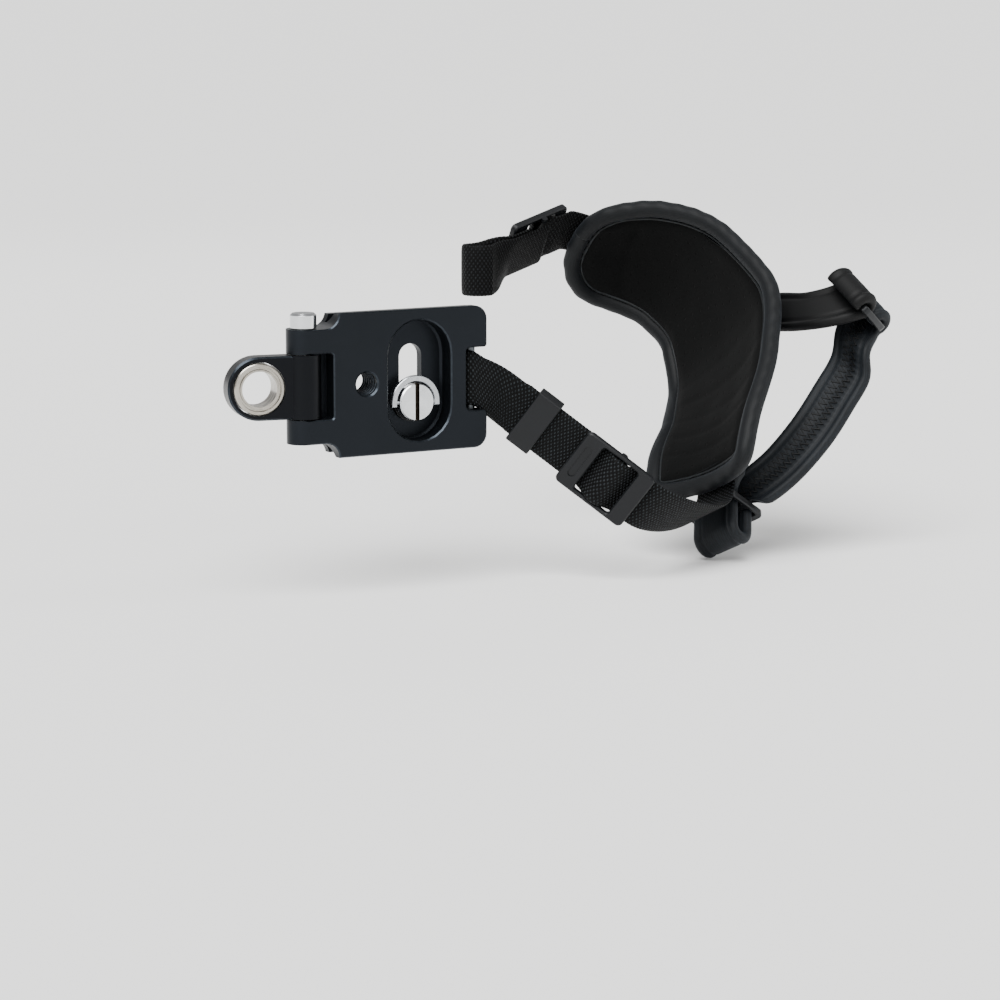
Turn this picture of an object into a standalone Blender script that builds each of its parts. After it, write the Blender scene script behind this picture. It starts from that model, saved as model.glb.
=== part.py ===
# Hand grip strap with a dovetail base plate, a hinged sling link, a padded hand strap and a wrist loop.
# Every size below is in millimetres, and MM turns it into metres where a mesh is made.
# Origin: centre of the seat face. +X runs towards the strap, +Y out of the seat, +Z up.
import math

import bmesh
import bpy
from mathutils import Matrix, Vector

for thing in list(bpy.data.objects):
    bpy.data.objects.remove(thing)

MM = 0.001

# Clearances
GAP = 0.3
LAYER_GAP = 0.32
SLOT_PLAY = 0.55

# Base plate
PLATE_THICK = 9.5
PLATE_RIGHT = 29.5
PLATE_HALF_HEIGHT = 19.75
PLATE_CORNER = 3.8
PLATE_CHAMFER = 0.35
FLANGE_THICK = 2.8
GROOVE_DEPTH = 3.0
LIP_THICK = 2.7
LIP_SETBACK = 0.75
KNUCKLE_STEP = 4.15
SHOULDER_X = -15.8
SCALLOP_FLAT = 0.15
SEAT_PAD_THICK = 1.0
SEAT_PAD_PROUD = 0.5
SEAT_PAD_LEFT = -14.0
SEAT_PAD_RIGHT = 20.5
SEAT_PAD_MARGIN = 4.25
SEAT_PAD_CORNER = 3.0

# Threaded hole
HOLE_X = -7.5
THREAD_RADIUS = 3.175
HOLE_CHAMFER = 0.45

# Recess, slot and mounting screw
RECESS_X = 8.6
RECESS_HALF_WIDTH = 9.65
RECESS_MARGIN = 3.0
RECESS_DEPTH = 6.0
SCREW_TRAVEL = 12.4
WASHER_RADIUS = 5.6
WASHER_THICK = 0.8
HEAD_RADIUS = 5.2
HEAD_HEIGHT = 3.0
HEAD_CHAMFER = 0.3
DRIVER_SLOT_WIDTH = 1.3
DRIVER_SLOT_DEPTH = 1.3
SHANK_REACH = 5.0
RING_INNER = 5.7
RING_WIDTH = 1.7
RING_THICK = 1.4
RING_PIVOT_RADIUS = 0.6
RING_PIVOT_REACH = 1.4

# Hinge and sling link
HINGE_REACH = 8.5
LINK_WALL_REACH = 2.1
LINK_SADDLE_INSET = 0.4
PIN_RADIUS = 2.0
PIN_HEAD_RADIUS = 3.6
PIN_HEAD_HEIGHT = 4.0
PIN_HEAD_CHAMFER = 0.6
LINK_HALF_HEIGHT = 8.65
LINK_THICK = 6.0
LINK_REACH = 13.1
LINK_REST_ANGLE = -10.0
LINK_CHAMFER = 0.5
BUSHING_RADIUS = 7.0
BUSHING_BORE = 4.8
BUSHING_PROUD = 0.35
BUSHING_LIP = 0.55
BUSHING_GROOVE = 0.7

# Strap bar in its notch
NOTCH_DEPTH = 6.4
NOTCH_TOP = 8.2
NOTCH_BOTTOM = -9.4
NOTCH_CORNER = 1.8
BAR_RADIUS = 1.5
BAR_INSET = 3.1
BAR_SINK = 3.2

# Webbing and buckles
WEB_WIDTH = 15.0
WEB_THICK = 1.1
WEB_EDGE = 0.3
BUCKLE_LENGTH = 23.0
BUCKLE_THICK = 2.2
BUCKLE_END_BAR = 6.0
BUCKLE_FAR_BAR = 5.0
BUCKLE_RAIL = 1.15
BUCKLE_CORNER = 1.6
BUCKLE_CHAMFER = 0.35
BUCKLE_MARK_DEPTH = 0.35
MIDDLE_BAR_RADIUS = 1.0
KEEPER_LENGTH = 7.5
KEEPER_WALL = 1.0
KEEPER_TO_BUCKLE = 10.0
SEWN_LENGTH = 24.0
WEB_OVERHANG = 2.5
WRAP_END_ANGLE = 150.0
EYE_RADIUS = 4.4
SLACK = 0.65

# Hand pad
LINING_THICK = 0.8
FOAM_THICK = 2.6
COVER_THICK = 1.0
BINDING_RADIUS = 2.6
PAD_CUP = 4.0
PAD_END_CUP = 5.5
PAD_CORNER_UPPER = 17.0
PAD_CORNER_LOWER = 7.0
PAD_ROWS = 26
PAD_COLUMNS = 8
ROW_EASE = 0.12

# Wrist bands and their sliders
BAND_WIDTH = 15.5
BAND_THICK = 3.0
SLIDER_BAR = 2.4
SLIDER_WIDTH = 18.6
UPPER_SLIDER_LENGTH = 13.4
LOWER_SLIDER_LENGTH = 15.0
SLIDER_THICK = 2.2
SLIDER_CORNER = 1.8
SLIDER_CHAMFER = 0.3
PASS_SPACING = 6.4
TURN_DROP = 7.5

# Directions and places chosen for the worn shape of the straps
BUCKLE_PLACE = (51.5, -19.0, -22.2)
BUCKLE_ALONG = (0.66, -0.46, -0.60)
BUCKLE_ACROSS = (0.35, -0.51, 0.78)
UPPER_BUCKLE_PLACE = (75.5, 63.0, 27.5)
UPPER_BUCKLE_ALONG = (0.94, 0.26, 0.24)
UPPER_BUCKLE_ACROSS = (0.05, 0.57, -0.82)
EYE_DISTANCE = 15.0
EYE_ALONG = (0.94, 0.34, 0.0)
EYE_ACROSS = (0.0, 0.0, -1.0)
UPPER_SLIDER_PLACE = (152.5, -11.0, 14.5)
UPPER_SLIDER_ALONG = (0.75, 0.40, -0.52)
UPPER_SLIDER_ACROSS = (0.09, -0.85, -0.52)
LOWER_SLIDER_PLACE = (109.0, -7.0, -45.5)
LOWER_SLIDER_ALONG = (0.83, 0.13, -0.54)
LOWER_SLIDER_ACROSS = (0.41, -0.80, 0.44)

# Hand pad from its upper end to its lower end: centre, direction across, half width
PAD_STATIONS = [
    ((99.5, 65.0, 29.5), (0.00, -0.62, 0.78), 19.5),
    ((114.5, 62.0, 26.0), (0.00, -0.62, 0.78), 21.0),
    ((125.5, 52.0, 22.0), (0.00, -0.68, 0.73), 24.0),
    ((131.0, 38.0, 14.0), (0.05, -0.75, 0.66), 26.5),
    ((130.5, 23.0, 0.5), (0.10, -0.80, 0.60), 29.5),
    ((120.0, 7.0, -12.5), (0.15, -0.85, 0.50), 26.5),
    ((106.5, -6.0, -25.0), (0.20, -0.90, 0.40), 23.5),
    ((99.5, -13.5, -36.5), (0.25, -0.92, 0.30), 20.5),
]

# Free stretch of the short wrist band, from the pad's back to the upper slider: centre, across
INNER_BAND_STATIONS = [
    ((138.5, 4.0, 11.0), (-0.28, -0.72, -0.64)),
    ((141.0, -4.0, 12.0), (-0.20, -0.80, -0.56)),
    ((145.0, -9.0, 13.5), (-0.10, -0.83, -0.54)),
]

# Long wrist band, from the upper slider to the lower one: centre, across
OUTER_BAND_STATIONS = [
    ((151.2, -11.0, 3.5), (0.15, -0.87, -0.46)),
    ((149.6, -12.0, -4.5), (0.25, -0.88, -0.40)),
    ((144.2, -12.0, -12.5), (0.29, -0.88, -0.36)),
    ((136.4, -12.0, -22.5), (0.29, -0.88, -0.37)),
    ((127.2, -11.0, -32.0), (0.22, -0.89, -0.39)),
    ((118.0, -10.0, -38.5), (0.20, -0.90, -0.35)),
]

KNUCKLE_HALF_HEIGHT = PLATE_HALF_HEIGHT - KNUCKLE_STEP
SCALLOP_RADIUS = KNUCKLE_STEP - SCALLOP_FLAT
RECESS_HALF_HEIGHT = PLATE_HALF_HEIGHT - RECESS_MARGIN
SEAT_PAD_HALF_HEIGHT = PLATE_HALF_HEIGHT - SEAT_PAD_MARGIN
FRONT_Y = -(PLATE_THICK + SEAT_PAD_PROUD)
BACK_Y = -SEAT_PAD_PROUD
MIDDLE_Y = (FRONT_Y + BACK_Y) / 2
BARREL_RADIUS = PLATE_THICK / 2
HINGE_X = SHOULDER_X - HINGE_REACH
LINK_WALL_X = HINGE_X + BARREL_RADIUS + LINK_WALL_REACH
FLOOR_Y = FRONT_Y + RECESS_DEPTH
SLOT_HALF_WIDTH = THREAD_RADIUS + SLOT_PLAY / 2
SCREW_Z = -SCREW_TRAVEL / 2
HEAD_BACK_Y = FLOOR_Y - 2 * GAP - WASHER_THICK
PIVOT_Y = HEAD_BACK_Y - HEAD_HEIGHT / 2
BAR_X = PLATE_RIGHT - BAR_INSET
BAR_Z = (NOTCH_TOP + NOTCH_BOTTOM) / 2

# Layers of the pad, measured from its middle surface towards the hand
PAD_THICK = LINING_THICK + FOAM_THICK + COVER_THICK + 2 * LAYER_GAP
COVER_FROM = -PAD_THICK / 2
FOAM_FROM = COVER_FROM + COVER_THICK + LAYER_GAP
LINING_FROM = FOAM_FROM + FOAM_THICK + LAYER_GAP
LAYER_INSET = 2 * BINDING_RADIUS + 3 * GAP
FOAM_INSET = LAYER_INSET + 2 * GAP

# Webbing in a buckle, measured from the buckle's middle plane
MAIN_LEVEL = -(BUCKLE_THICK / 2 + LAYER_GAP + WEB_THICK / 2)
REAR_LEVEL = MAIN_LEVEL - WEB_THICK - LAYER_GAP
PAIR_LEVEL = (MAIN_LEVEL + REAR_LEVEL) / 2
PAIR_HALF = (MAIN_LEVEL - REAR_LEVEL) / 2
WRAP_RADIUS = MIDDLE_BAR_RADIUS + LAYER_GAP + WEB_THICK / 2
MIDDLE_BAR_LEVEL = REAR_LEVEL + WRAP_RADIUS
BUCKLE_WINDOW = BUCKLE_LENGTH - BUCKLE_END_BAR - BUCKLE_FAR_BAR
MIDDLE_BAR_PLACE = BUCKLE_END_BAR + BUCKLE_WINDOW / 2
HUMP_HEIGHT = MIDDLE_BAR_LEVEL + WRAP_RADIUS + WEB_THICK + LAYER_GAP + 0.1 - MAIN_LEVEL
HUMP_HALF_LENGTH = BUCKLE_WINDOW / 2 + 0.5
BUCKLE_WIDTH = WEB_WIDTH + 2 * GAP + 2 * BUCKLE_RAIL

BAND_ON_PAD = PAD_THICK / 2 + 2 * GAP + BAND_THICK / 2
WEB_ON_PAD = PAD_THICK / 2 + GAP + WEB_THICK / 2
BAND_OVER_WEB = WEB_ON_PAD + WEB_THICK / 2 + 2 * GAP + BAND_THICK / 2


def hex_colour(text):
    values = [int(text[i : i + 2], 16) / 255 for i in (0, 2, 4)]
    return [v / 12.92 if v <= 0.04045 else ((v + 0.055) / 1.055) ** 2.4 for v in values] + [1.0]


def make_material(name, colour, roughness, metallic=0.0):
    material = bpy.data.materials.new(name)
    material.use_nodes = True
    shader = material.node_tree.nodes["Principled BSDF"]
    shader.inputs["Base Color"].default_value = hex_colour(colour)
    shader.inputs["Roughness"].default_value = roughness
    shader.inputs["Metallic"].default_value = metallic
    return material


def add_object(name, data, collection, matrix=None):
    thing = bpy.data.objects.new(name, data)
    collection.objects.link(thing)
    if matrix is not None:
        thing.matrix_world = matrix
    return thing


def add_part(name, data, finish, matrix=None):
    colour, roughness, metallic = finish
    data.materials.clear()
    data.materials.append(make_material(name, colour, roughness, metallic))
    part = add_object(name, data, parts, matrix)
    if isinstance(data, bpy.types.Mesh):
        data.shade_smooth()
        data.set_sharp_from_angle(angle=math.radians(30))
    return part


def add_cutter(name, data, matrix=None):
    cutter = add_object(name, data, cutters, matrix)
    cutter.hide_render = True
    cutter.display_type = "WIRE"
    return cutter


def boolean(target, cutter, operation="DIFFERENCE"):
    modifier = target.modifiers.new(f"{operation.lower()} {cutter.name}", "BOOLEAN")
    modifier.operation = operation
    modifier.object = cutter


def tidy(mesh):
    bm = bmesh.new()
    bm.from_mesh(mesh)
    bmesh.ops.remove_doubles(bm, verts=bm.verts, dist=1e-6)
    bmesh.ops.recalc_face_normals(bm, faces=bm.faces)
    bm.to_mesh(mesh)
    bm.free()
    return mesh


def mesh_from_curve(curve):
    holder = add_object("outline", curve, cutters)
    bpy.context.view_layer.update()
    evaluated = holder.evaluated_get(bpy.context.evaluated_depsgraph_get())
    mesh = bpy.data.meshes.new_from_object(evaluated)
    bpy.data.objects.remove(holder)
    bpy.data.curves.remove(curve)
    return tidy(mesh)


def extruded(outlines, depth, chamfer=0.0):
    """Flat outlines in XY, extruded along Z about the XY plane. An outline inside another is a hole."""
    curve = bpy.data.curves.new("outline", "CURVE")
    curve.dimensions = "2D"
    curve.fill_mode = "BOTH"
    curve.extrude = (depth / 2 - chamfer) * MM
    curve.bevel_depth = chamfer * MM
    curve.bevel_resolution = 0
    curve.offset = -chamfer * MM
    for outline in outlines:
        spline = curve.splines.new("POLY")
        spline.points.add(len(outline) - 1)
        for point, (x, y) in zip(spline.points, outline):
            point.co = (x * MM, y * MM, 0, 1)
        spline.use_cyclic_u = True
    return mesh_from_curve(curve)


def rounded(corners, steps=6):
    """Closed outline from (x, y, radius) corners, each corner turned into an arc of its radius."""
    outline = []
    count = len(corners)
    for index, (x, y, radius) in enumerate(corners):
        here = Vector((x, y))
        if radius == 0:
            outline.append(here)
            continue
        before = (Vector(corners[index - 1][:2]) - here).normalized()
        after = (Vector(corners[(index + 1) % count][:2]) - here).normalized()
        half = before.angle(after) / 2
        centre = here + (before + after).normalized() * radius / math.sin(half)
        start = here + before * radius / math.tan(half) - centre
        end = here + after * radius / math.tan(half) - centre
        sweep = math.atan2(start.cross(end), start.dot(end))
        for step in range(steps + 1):
            outline.append(centre + Matrix.Rotation(sweep * step / steps, 2) @ start)
    return outline


def circle(radius, steps=32, centre=(0.0, 0.0)):
    turns = [2 * math.pi * step / steps for step in range(steps)]
    return [(centre[0] + radius * math.cos(a), centre[1] + radius * math.sin(a)) for a in turns]


def obround(half_width, half_height, centre_x=0.0, steps=12):
    """Upright outline with half round ends."""
    straight = half_height - half_width
    outline = []
    for side in (1, -1):
        for step in range(steps + 1):
            angle = math.pi * step / steps + (0 if side > 0 else math.pi)
            outline.append(
                (centre_x + half_width * math.cos(angle), side * straight + half_width * math.sin(angle))
            )
    return outline


def box_outline(left, right, bottom, top, radius=0.0):
    corners = [(left, bottom), (right, bottom), (right, top), (left, top)]
    return rounded([(x, y, radius) for x, y in corners])


def loft(rings, closed=False):
    """Skin over rings of equally many points in millimetres, with flat ends unless it closes on itself."""
    bm = bmesh.new()
    rows = [[bm.verts.new(Vector(p) * MM) for p in ring] for ring in rings]
    count = len(rows[0])
    following = rows[1:] + (rows[:1] if closed else [])
    for row, after in zip(rows, following):
        for i in range(count):
            j = (i + 1) % count
            bm.faces.new((row[i], row[j], after[j], after[i]))
    if not closed:
        bm.faces.new(list(reversed(rows[0])))
        bm.faces.new(rows[-1])
    bmesh.ops.recalc_face_normals(bm, faces=bm.faces)
    mesh = bpy.data.meshes.new("loft")
    bm.to_mesh(mesh)
    bm.free()
    return mesh


def stacked(outline_at, levels):
    """Solid along Z whose outline grows or shrinks: outline_at(offset) at each (z, offset) level."""
    return loft([[(x, y, z) for x, y in outline_at(offset)] for z, offset in levels])


def cylinder(radius, bottom, top, steps=32):
    bm = bmesh.new()
    bmesh.ops.create_cone(
        bm,
        cap_ends=True,
        segments=steps,
        radius1=radius * MM,
        radius2=radius * MM,
        depth=(top - bottom) * MM,
        matrix=place(0, 0, (bottom + top) / 2),
    )
    mesh = bpy.data.meshes.new("cylinder")
    bm.to_mesh(mesh)
    bm.free()
    return mesh


def turned(name, profile, finish, matrix, closed=False, steps=48):
    """Profile of (radius, height) points, top to bottom on its outer side, turned about Z."""
    mesh = bpy.data.meshes.new(name)
    edges = [(i, i + 1) for i in range(len(profile) - 1)]
    if closed:
        edges.append((len(profile) - 1, 0))
    mesh.from_pydata([(r * MM, 0, z * MM) for r, z in profile], edges, [])
    part = add_part(name, mesh, finish, matrix)
    screw = part.modifiers.new("turn", "SCREW")
    screw.axis = "Z"
    screw.angle = math.tau
    screw.steps = steps
    screw.render_steps = steps
    screw.use_merge_vertices = True
    screw.merge_threshold = 0.00001
    screw.use_smooth_shade = True
    return part


def place(x, y, z, turn=None):
    matrix = Matrix.Translation(Vector((x, y, z)) * MM)
    return matrix @ turn if turn else matrix


def frame_matrix(origin, along, across):
    """Local X runs along the strap, local Y across it and local Z out of its outer face."""
    along = Vector(along).normalized()
    across = Vector(across)
    across = (across - along * across.dot(along)).normalized()
    normal = along.cross(across)
    matrix = Matrix((along, across, normal)).transposed().to_4x4()
    matrix.translation = Vector(origin) * MM
    return matrix


def frame_point(matrix, x, y, z):
    return (matrix @ (Vector((x, y, z)) * MM)) / MM


def spline_value(values, position):
    """Point at a position from 0 to 1 on a smooth curve through evenly spaced values."""
    spans = len(values) - 1
    index = min(int(position * spans), spans - 1)
    t = position * spans - index
    p1, p2 = values[index], values[index + 1]
    p0 = values[index - 1] if index > 0 else p1 + (p1 - p2)
    p3 = values[index + 2] if index + 2 <= spans else p2 + (p2 - p1)
    return 0.5 * (
        2 * p1 + (p2 - p0) * t + (2 * p0 - 5 * p1 + 4 * p2 - p3) * t * t + (3 * p1 - p0 - 3 * p2 + p3) * t**3
    )


def hermite(start, start_pull, end, end_pull, t):
    return (
        start * (2 * t**3 - 3 * t**2 + 1)
        + start_pull * (t**3 - 2 * t**2 + t)
        + end * (3 * t**2 - 2 * t**3)
        + end_pull * (t**3 - t**2)
    )


def bridge(start, start_along, start_across, end, end_along, end_across, steps):
    """Stations between two others, on a curve that leaves and arrives along their directions."""
    pull = SLACK * (end - start).length
    stations = []
    for step in range(1, steps):
        t = step / steps
        centre = hermite(start, start_along * pull, end, end_along * pull, t)
        ease = t * t * (3 - 2 * t)
        stations.append((centre, start_across.lerp(end_across, ease)))
    return stations


def arc(matrix, centre_x, centre_z, radius, first, last, steps):
    """Stations on an arc in a frame's XZ plane, angles in degrees from its X axis."""
    across = matrix.to_3x3() @ Vector((0, 1, 0))
    stations = []
    for step in range(steps + 1):
        angle = math.radians(first + (last - first) * step / steps)
        x = centre_x + radius * math.cos(angle)
        z = centre_z + radius * math.sin(angle)
        stations.append((frame_point(matrix, x, 0, z), across))
    return stations


def ribbon(stations, section):
    """Skin along stations of (centre, across), with a section of (across, outwards) points."""
    rings = []
    last = len(stations) - 1
    for index, (centre, across) in enumerate(stations):
        along = stations[min(index + 1, last)][0] - stations[max(index - 1, 0)][0]
        across = across.normalized()
        normal = along.cross(across).normalized()
        rings.append([centre + across * a + normal * b for a, b in section])
    return loft(rings)


def web_section(width, thick):
    half, depth = width / 2, thick / 2
    return [
        (half, depth - WEB_EDGE),
        (half - WEB_EDGE, depth),
        (-half + WEB_EDGE, depth),
        (-half, depth - WEB_EDGE),
        (-half, -depth + WEB_EDGE),
        (-half + WEB_EDGE, -depth),
        (half - WEB_EDGE, -depth),
        (half, -depth + WEB_EDGE),
    ]


def band_section(width, thick, steps=4):
    """Flat band with half round edges."""
    radius = thick / 2
    section = []
    for side in (1, -1):
        for step in range(steps + 1):
            angle = math.pi * (step / steps - 0.5)
            section.append(
                (side * (width / 2 - radius + radius * math.cos(angle)), side * radius * math.sin(angle))
            )
    return section


PAD_CENTRES = [Vector(centre) for centre, across, half in PAD_STATIONS]
PAD_ACROSS = [Vector(across).normalized() for centre, across, half in PAD_STATIONS]
PAD_HALVES = [half for centre, across, half in PAD_STATIONS]
PAD_LENGTH = sum((b - a).length for a, b in zip(PAD_CENTRES, PAD_CENTRES[1:]))


def pad_frame(u):
    """Centre, direction along, direction across and direction towards the hand at u, from the upper end."""
    centre = spline_value(PAD_CENTRES, u)
    along = spline_value(PAD_CENTRES, min(u + 0.01, 1)) - spline_value(PAD_CENTRES, max(u - 0.01, 0))
    along.normalize()
    across = spline_value(PAD_ACROSS, u)
    across = (across - along * across.dot(along)).normalized()
    return centre, along, across, along.cross(across)


def pad_point(u, x, lift=0.0):
    """Point of the pad's middle surface, x across and lifted towards the hand."""
    centre, along, across, inwards = pad_frame(u)
    half = spline_value(PAD_HALVES, u)
    cup = PAD_CUP + (PAD_END_CUP - PAD_CUP) * u
    return centre + across * x + inwards * (lift + cup * (x / half) ** 2)


def pad_half(u, inset):
    """Half width at u of an outline that lies an inset inside the pad's edge, with rounded corners."""
    half = spline_value(PAD_HALVES, u) - inset
    for distance, corner in (
        (u * PAD_LENGTH - inset, PAD_CORNER_UPPER - inset),
        ((1 - u) * PAD_LENGTH - inset, PAD_CORNER_LOWER - inset),
    ):
        if corner > 0 and distance < corner:
            short = 1 - max(distance, 0) / corner
            half -= corner * (1 - math.sqrt(1 - short * short))
    return half


def pad_rows(inset, rows):
    """Values of u from end to end inside an inset, closer together at both ends."""
    first = inset / PAD_LENGTH
    start = math.cos(math.pi * ROW_EASE)
    steps = []
    for row in range(rows + 1):
        turn = math.pi * (ROW_EASE + (1 - 2 * ROW_EASE) * row / rows)
        eased = 0.5 - 0.5 * math.cos(turn) / start
        steps.append(first + (1 - 2 * first) * eased)
    return steps


def pad_layer(name, lift, thick, finish, inset):
    """One layer of the pad: a sheet over its middle surface, thickened towards the hand."""
    bm = bmesh.new()
    grid = []
    for u in pad_rows(inset, PAD_ROWS):
        half = pad_half(u, inset)
        across = [half * (2 * column / PAD_COLUMNS - 1) for column in range(PAD_COLUMNS + 1)]
        grid.append([bm.verts.new(pad_point(u, x, lift) * MM) for x in across])
    for row, after in zip(grid, grid[1:]):
        for i in range(PAD_COLUMNS):
            bm.faces.new((row[i], after[i], after[i + 1], row[i + 1]))
    mesh = bpy.data.meshes.new(name)
    bm.to_mesh(mesh)
    bm.free()
    layer = add_part(name, mesh, finish)
    solidify = layer.modifiers.new("thickness", "SOLIDIFY")
    solidify.thickness = thick * MM
    solidify.offset = 1
    return layer


def pad_outline(inset, rows=24, ends=4):
    """Points round the pad at an inset from its edge."""
    steps = pad_rows(inset, rows)
    first, last = steps[0], steps[-1]
    outline = [pad_point(u, pad_half(u, inset)) for u in steps]
    for i in range(1, ends):
        outline.append(pad_point(last, pad_half(last, inset) * (1 - 2 * i / ends)))
    outline += [pad_point(u, -pad_half(u, inset)) for u in reversed(steps)]
    for i in range(1, ends):
        outline.append(pad_point(first, pad_half(first, inset) * (2 * i / ends - 1)))
    return outline


def pad_run(first, last, x, lift, steps, flip=1, overhang=0.0):
    """Stations that lie on the pad from one u to another, the first one an overhang beyond the pad's end."""
    stations = []
    if overhang:
        end = round(first)
        centre, along, across, inwards = pad_frame(end)
        beyond = along * overhang * (2 * end - 1)
        stations.append((centre + beyond + across * x + inwards * lift, across * flip))
    for step in range(steps + 1):
        u = first + (last - first) * step / steps
        centre, along, across, inwards = pad_frame(u)
        stations.append((centre + across * x + inwards * lift, across * flip))
    return stations


ALUMINIUM = ("34383E", 0.42, 0.85)
STEEL = ("C9CCD0", 0.22, 1.0)
RUBBER = ("17181A", 0.85, 0.0)
PLASTIC = ("26282B", 0.5, 0.0)
WEBBING = ("121315", 0.8, 0.0)
SPACER = ("15161A", 0.9, 0.0)
LYCRA = ("1C1F22", 0.75, 0.0)


def build_base_plate():
    """Machined plate: the knuckle profile seen from above, cut to the front outline, then grooved."""
    beyond_right = PLATE_RIGHT + 1
    top_profile = [(HINGE_X, FRONT_Y), (beyond_right, FRONT_Y), (beyond_right, BACK_Y), (HINGE_X, BACK_Y)]
    top_profile += [
        (HINGE_X - BARREL_RADIUS * math.sin(a), MIDDLE_Y + BARREL_RADIUS * math.cos(a))
        for a in (math.pi * step / 24 for step in range(1, 24))
    ]
    plate = add_part("base_plate", extruded([top_profile], 2 * PLATE_HALF_HEIGHT + 2), ALUMINIUM)

    beyond = HINGE_X - BARREL_RADIUS - 1
    notch_x = PLATE_RIGHT - NOTCH_DEPTH
    link_gap = LINK_HALF_HEIGHT + GAP
    front = rounded(
        [
            (beyond, -KNUCKLE_HALF_HEIGHT, 0),
            (SHOULDER_X, -KNUCKLE_HALF_HEIGHT, SCALLOP_RADIUS),
            (SHOULDER_X, -PLATE_HALF_HEIGHT, 0),
            (PLATE_RIGHT, -PLATE_HALF_HEIGHT, PLATE_CORNER),
            (PLATE_RIGHT, NOTCH_BOTTOM, 0.8),
            (notch_x, NOTCH_BOTTOM, NOTCH_CORNER),
            (notch_x, NOTCH_TOP, 1.2),
            (PLATE_RIGHT, NOTCH_TOP, 0.8),
            (PLATE_RIGHT, PLATE_HALF_HEIGHT, PLATE_CORNER),
            (SHOULDER_X, PLATE_HALF_HEIGHT, 0),
            (SHOULDER_X, KNUCKLE_HALF_HEIGHT, SCALLOP_RADIUS),
            (beyond, KNUCKLE_HALF_HEIGHT, 0),
            (beyond, link_gap, 0),
            (LINK_WALL_X, link_gap, 0.8),
            (LINK_WALL_X, -link_gap, 0.8),
            (beyond, -link_gap, 0),
        ]
    )
    upright = Matrix.Rotation(math.radians(90), 4, "X")
    outline = add_cutter(
        "plate_outline", extruded([front], PLATE_THICK, PLATE_CHAMFER), place(0, MIDDLE_Y, 0, upright)
    )
    boolean(plate, outline, "INTERSECT")

    # Saddle that follows the link's barrel behind its axis and closes the slot between the knuckles
    hug = BARREL_RADIUS + GAP
    saddle_back = BACK_Y - LINK_SADDLE_INSET
    saddle = [
        (HINGE_X + hug * math.cos(a), MIDDLE_Y + hug * math.sin(a))
        for a in (math.pi / 4 * step / 8 for step in range(9))
    ]
    saddle += [(HINGE_X + hug * math.cos(math.pi / 4), saddle_back)]
    saddle += [(LINK_WALL_X + 1, saddle_back), (LINK_WALL_X + 1, MIDDLE_Y)]
    closure = extruded([saddle], 2 * link_gap + 1)
    boolean(plate, add_cutter("link_saddle", closure), "UNION")

    # Dovetail groove between the front flange and the back lip, along the upper and the lower edge
    flange_y = FRONT_Y + FLANGE_THICK
    lip_y = BACK_Y - LIP_THICK
    lip_z = PLATE_HALF_HEIGHT - LIP_SETBACK
    clear_z = PLATE_HALF_HEIGHT + 2
    profile = [
        (flange_y - 2, clear_z),
        (flange_y, PLATE_HALF_HEIGHT),
        (flange_y + GROOVE_DEPTH, PLATE_HALF_HEIGHT - GROOVE_DEPTH),
        (lip_y, PLATE_HALF_HEIGHT - GROOVE_DEPTH),
        (lip_y, lip_z),
        (BACK_Y + 1, lip_z),
        (BACK_Y + 1, clear_z),
    ]
    across = Matrix(((0, 0, 1, 0), (1, 0, 0, 0), (0, 1, 0, 0), (0, 0, 0, 1)))
    for name, side in (("groove_upper", 1), ("groove_lower", -1)):
        groove = add_cutter(name, extruded([[(y, side * z) for y, z in profile]], 120), across)
        boolean(plate, groove)

    # Recess for the screw's head, its slot, the threaded hole and the pocket for the rubber pad
    facing = Matrix.Rotation(math.radians(90), 4, "X")
    recess = stacked(
        lambda offset: obround(RECESS_HALF_WIDTH + offset, RECESS_HALF_HEIGHT + offset),
        [(-FRONT_Y + 1, 1.4), (-FRONT_Y - 0.4, 0), (-FLOOR_Y + 0.6, 0), (-FLOOR_Y, -0.6)],
    )
    boolean(plate, add_cutter("recess", recess, place(RECESS_X, 0, 0, facing)))
    slot_half_height = SLOT_HALF_WIDTH + SCREW_TRAVEL / 2
    slot = extruded([obround(SLOT_HALF_WIDTH, slot_half_height)], 2 * PLATE_THICK)
    boolean(plate, add_cutter("screw_slot", slot, place(RECESS_X, 0, 0, facing)))
    hole = stacked(
        lambda offset: circle(THREAD_RADIUS + offset),
        [(-FRONT_Y + 1, 1 + HOLE_CHAMFER), (-FRONT_Y - HOLE_CHAMFER, 0), (-1, 0)],
    )
    boolean(plate, add_cutter("threaded_hole", hole, place(HOLE_X, 0, 0, facing)))
    pocket = extruded([seat_pad_outline(GAP)], 2 * (SEAT_PAD_THICK - SEAT_PAD_PROUD + GAP))
    boolean(plate, add_cutter("pad_pocket", pocket, place(0, BACK_Y, 0, facing)))

    # Bores for the hinge pin and for the strap bar, which is pressed in from the lower edge
    pin_bore = cylinder(PIN_RADIUS + GAP, -PLATE_HALF_HEIGHT - 1, PLATE_HALF_HEIGHT + 1)
    boolean(plate, add_cutter("pin_bore", pin_bore, place(HINGE_X, MIDDLE_Y, 0)))
    bar_bore = cylinder(BAR_RADIUS + GAP, -PLATE_HALF_HEIGHT - 1, NOTCH_TOP + BAR_SINK + GAP)
    boolean(plate, add_cutter("bar_bore", bar_bore, place(BAR_X, MIDDLE_Y, 0)))


def seat_pad_outline(grow):
    return box_outline(
        SEAT_PAD_LEFT - grow,
        SEAT_PAD_RIGHT + grow,
        -SEAT_PAD_HALF_HEIGHT - grow,
        SEAT_PAD_HALF_HEIGHT + grow,
        SEAT_PAD_CORNER + grow,
    )


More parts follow.
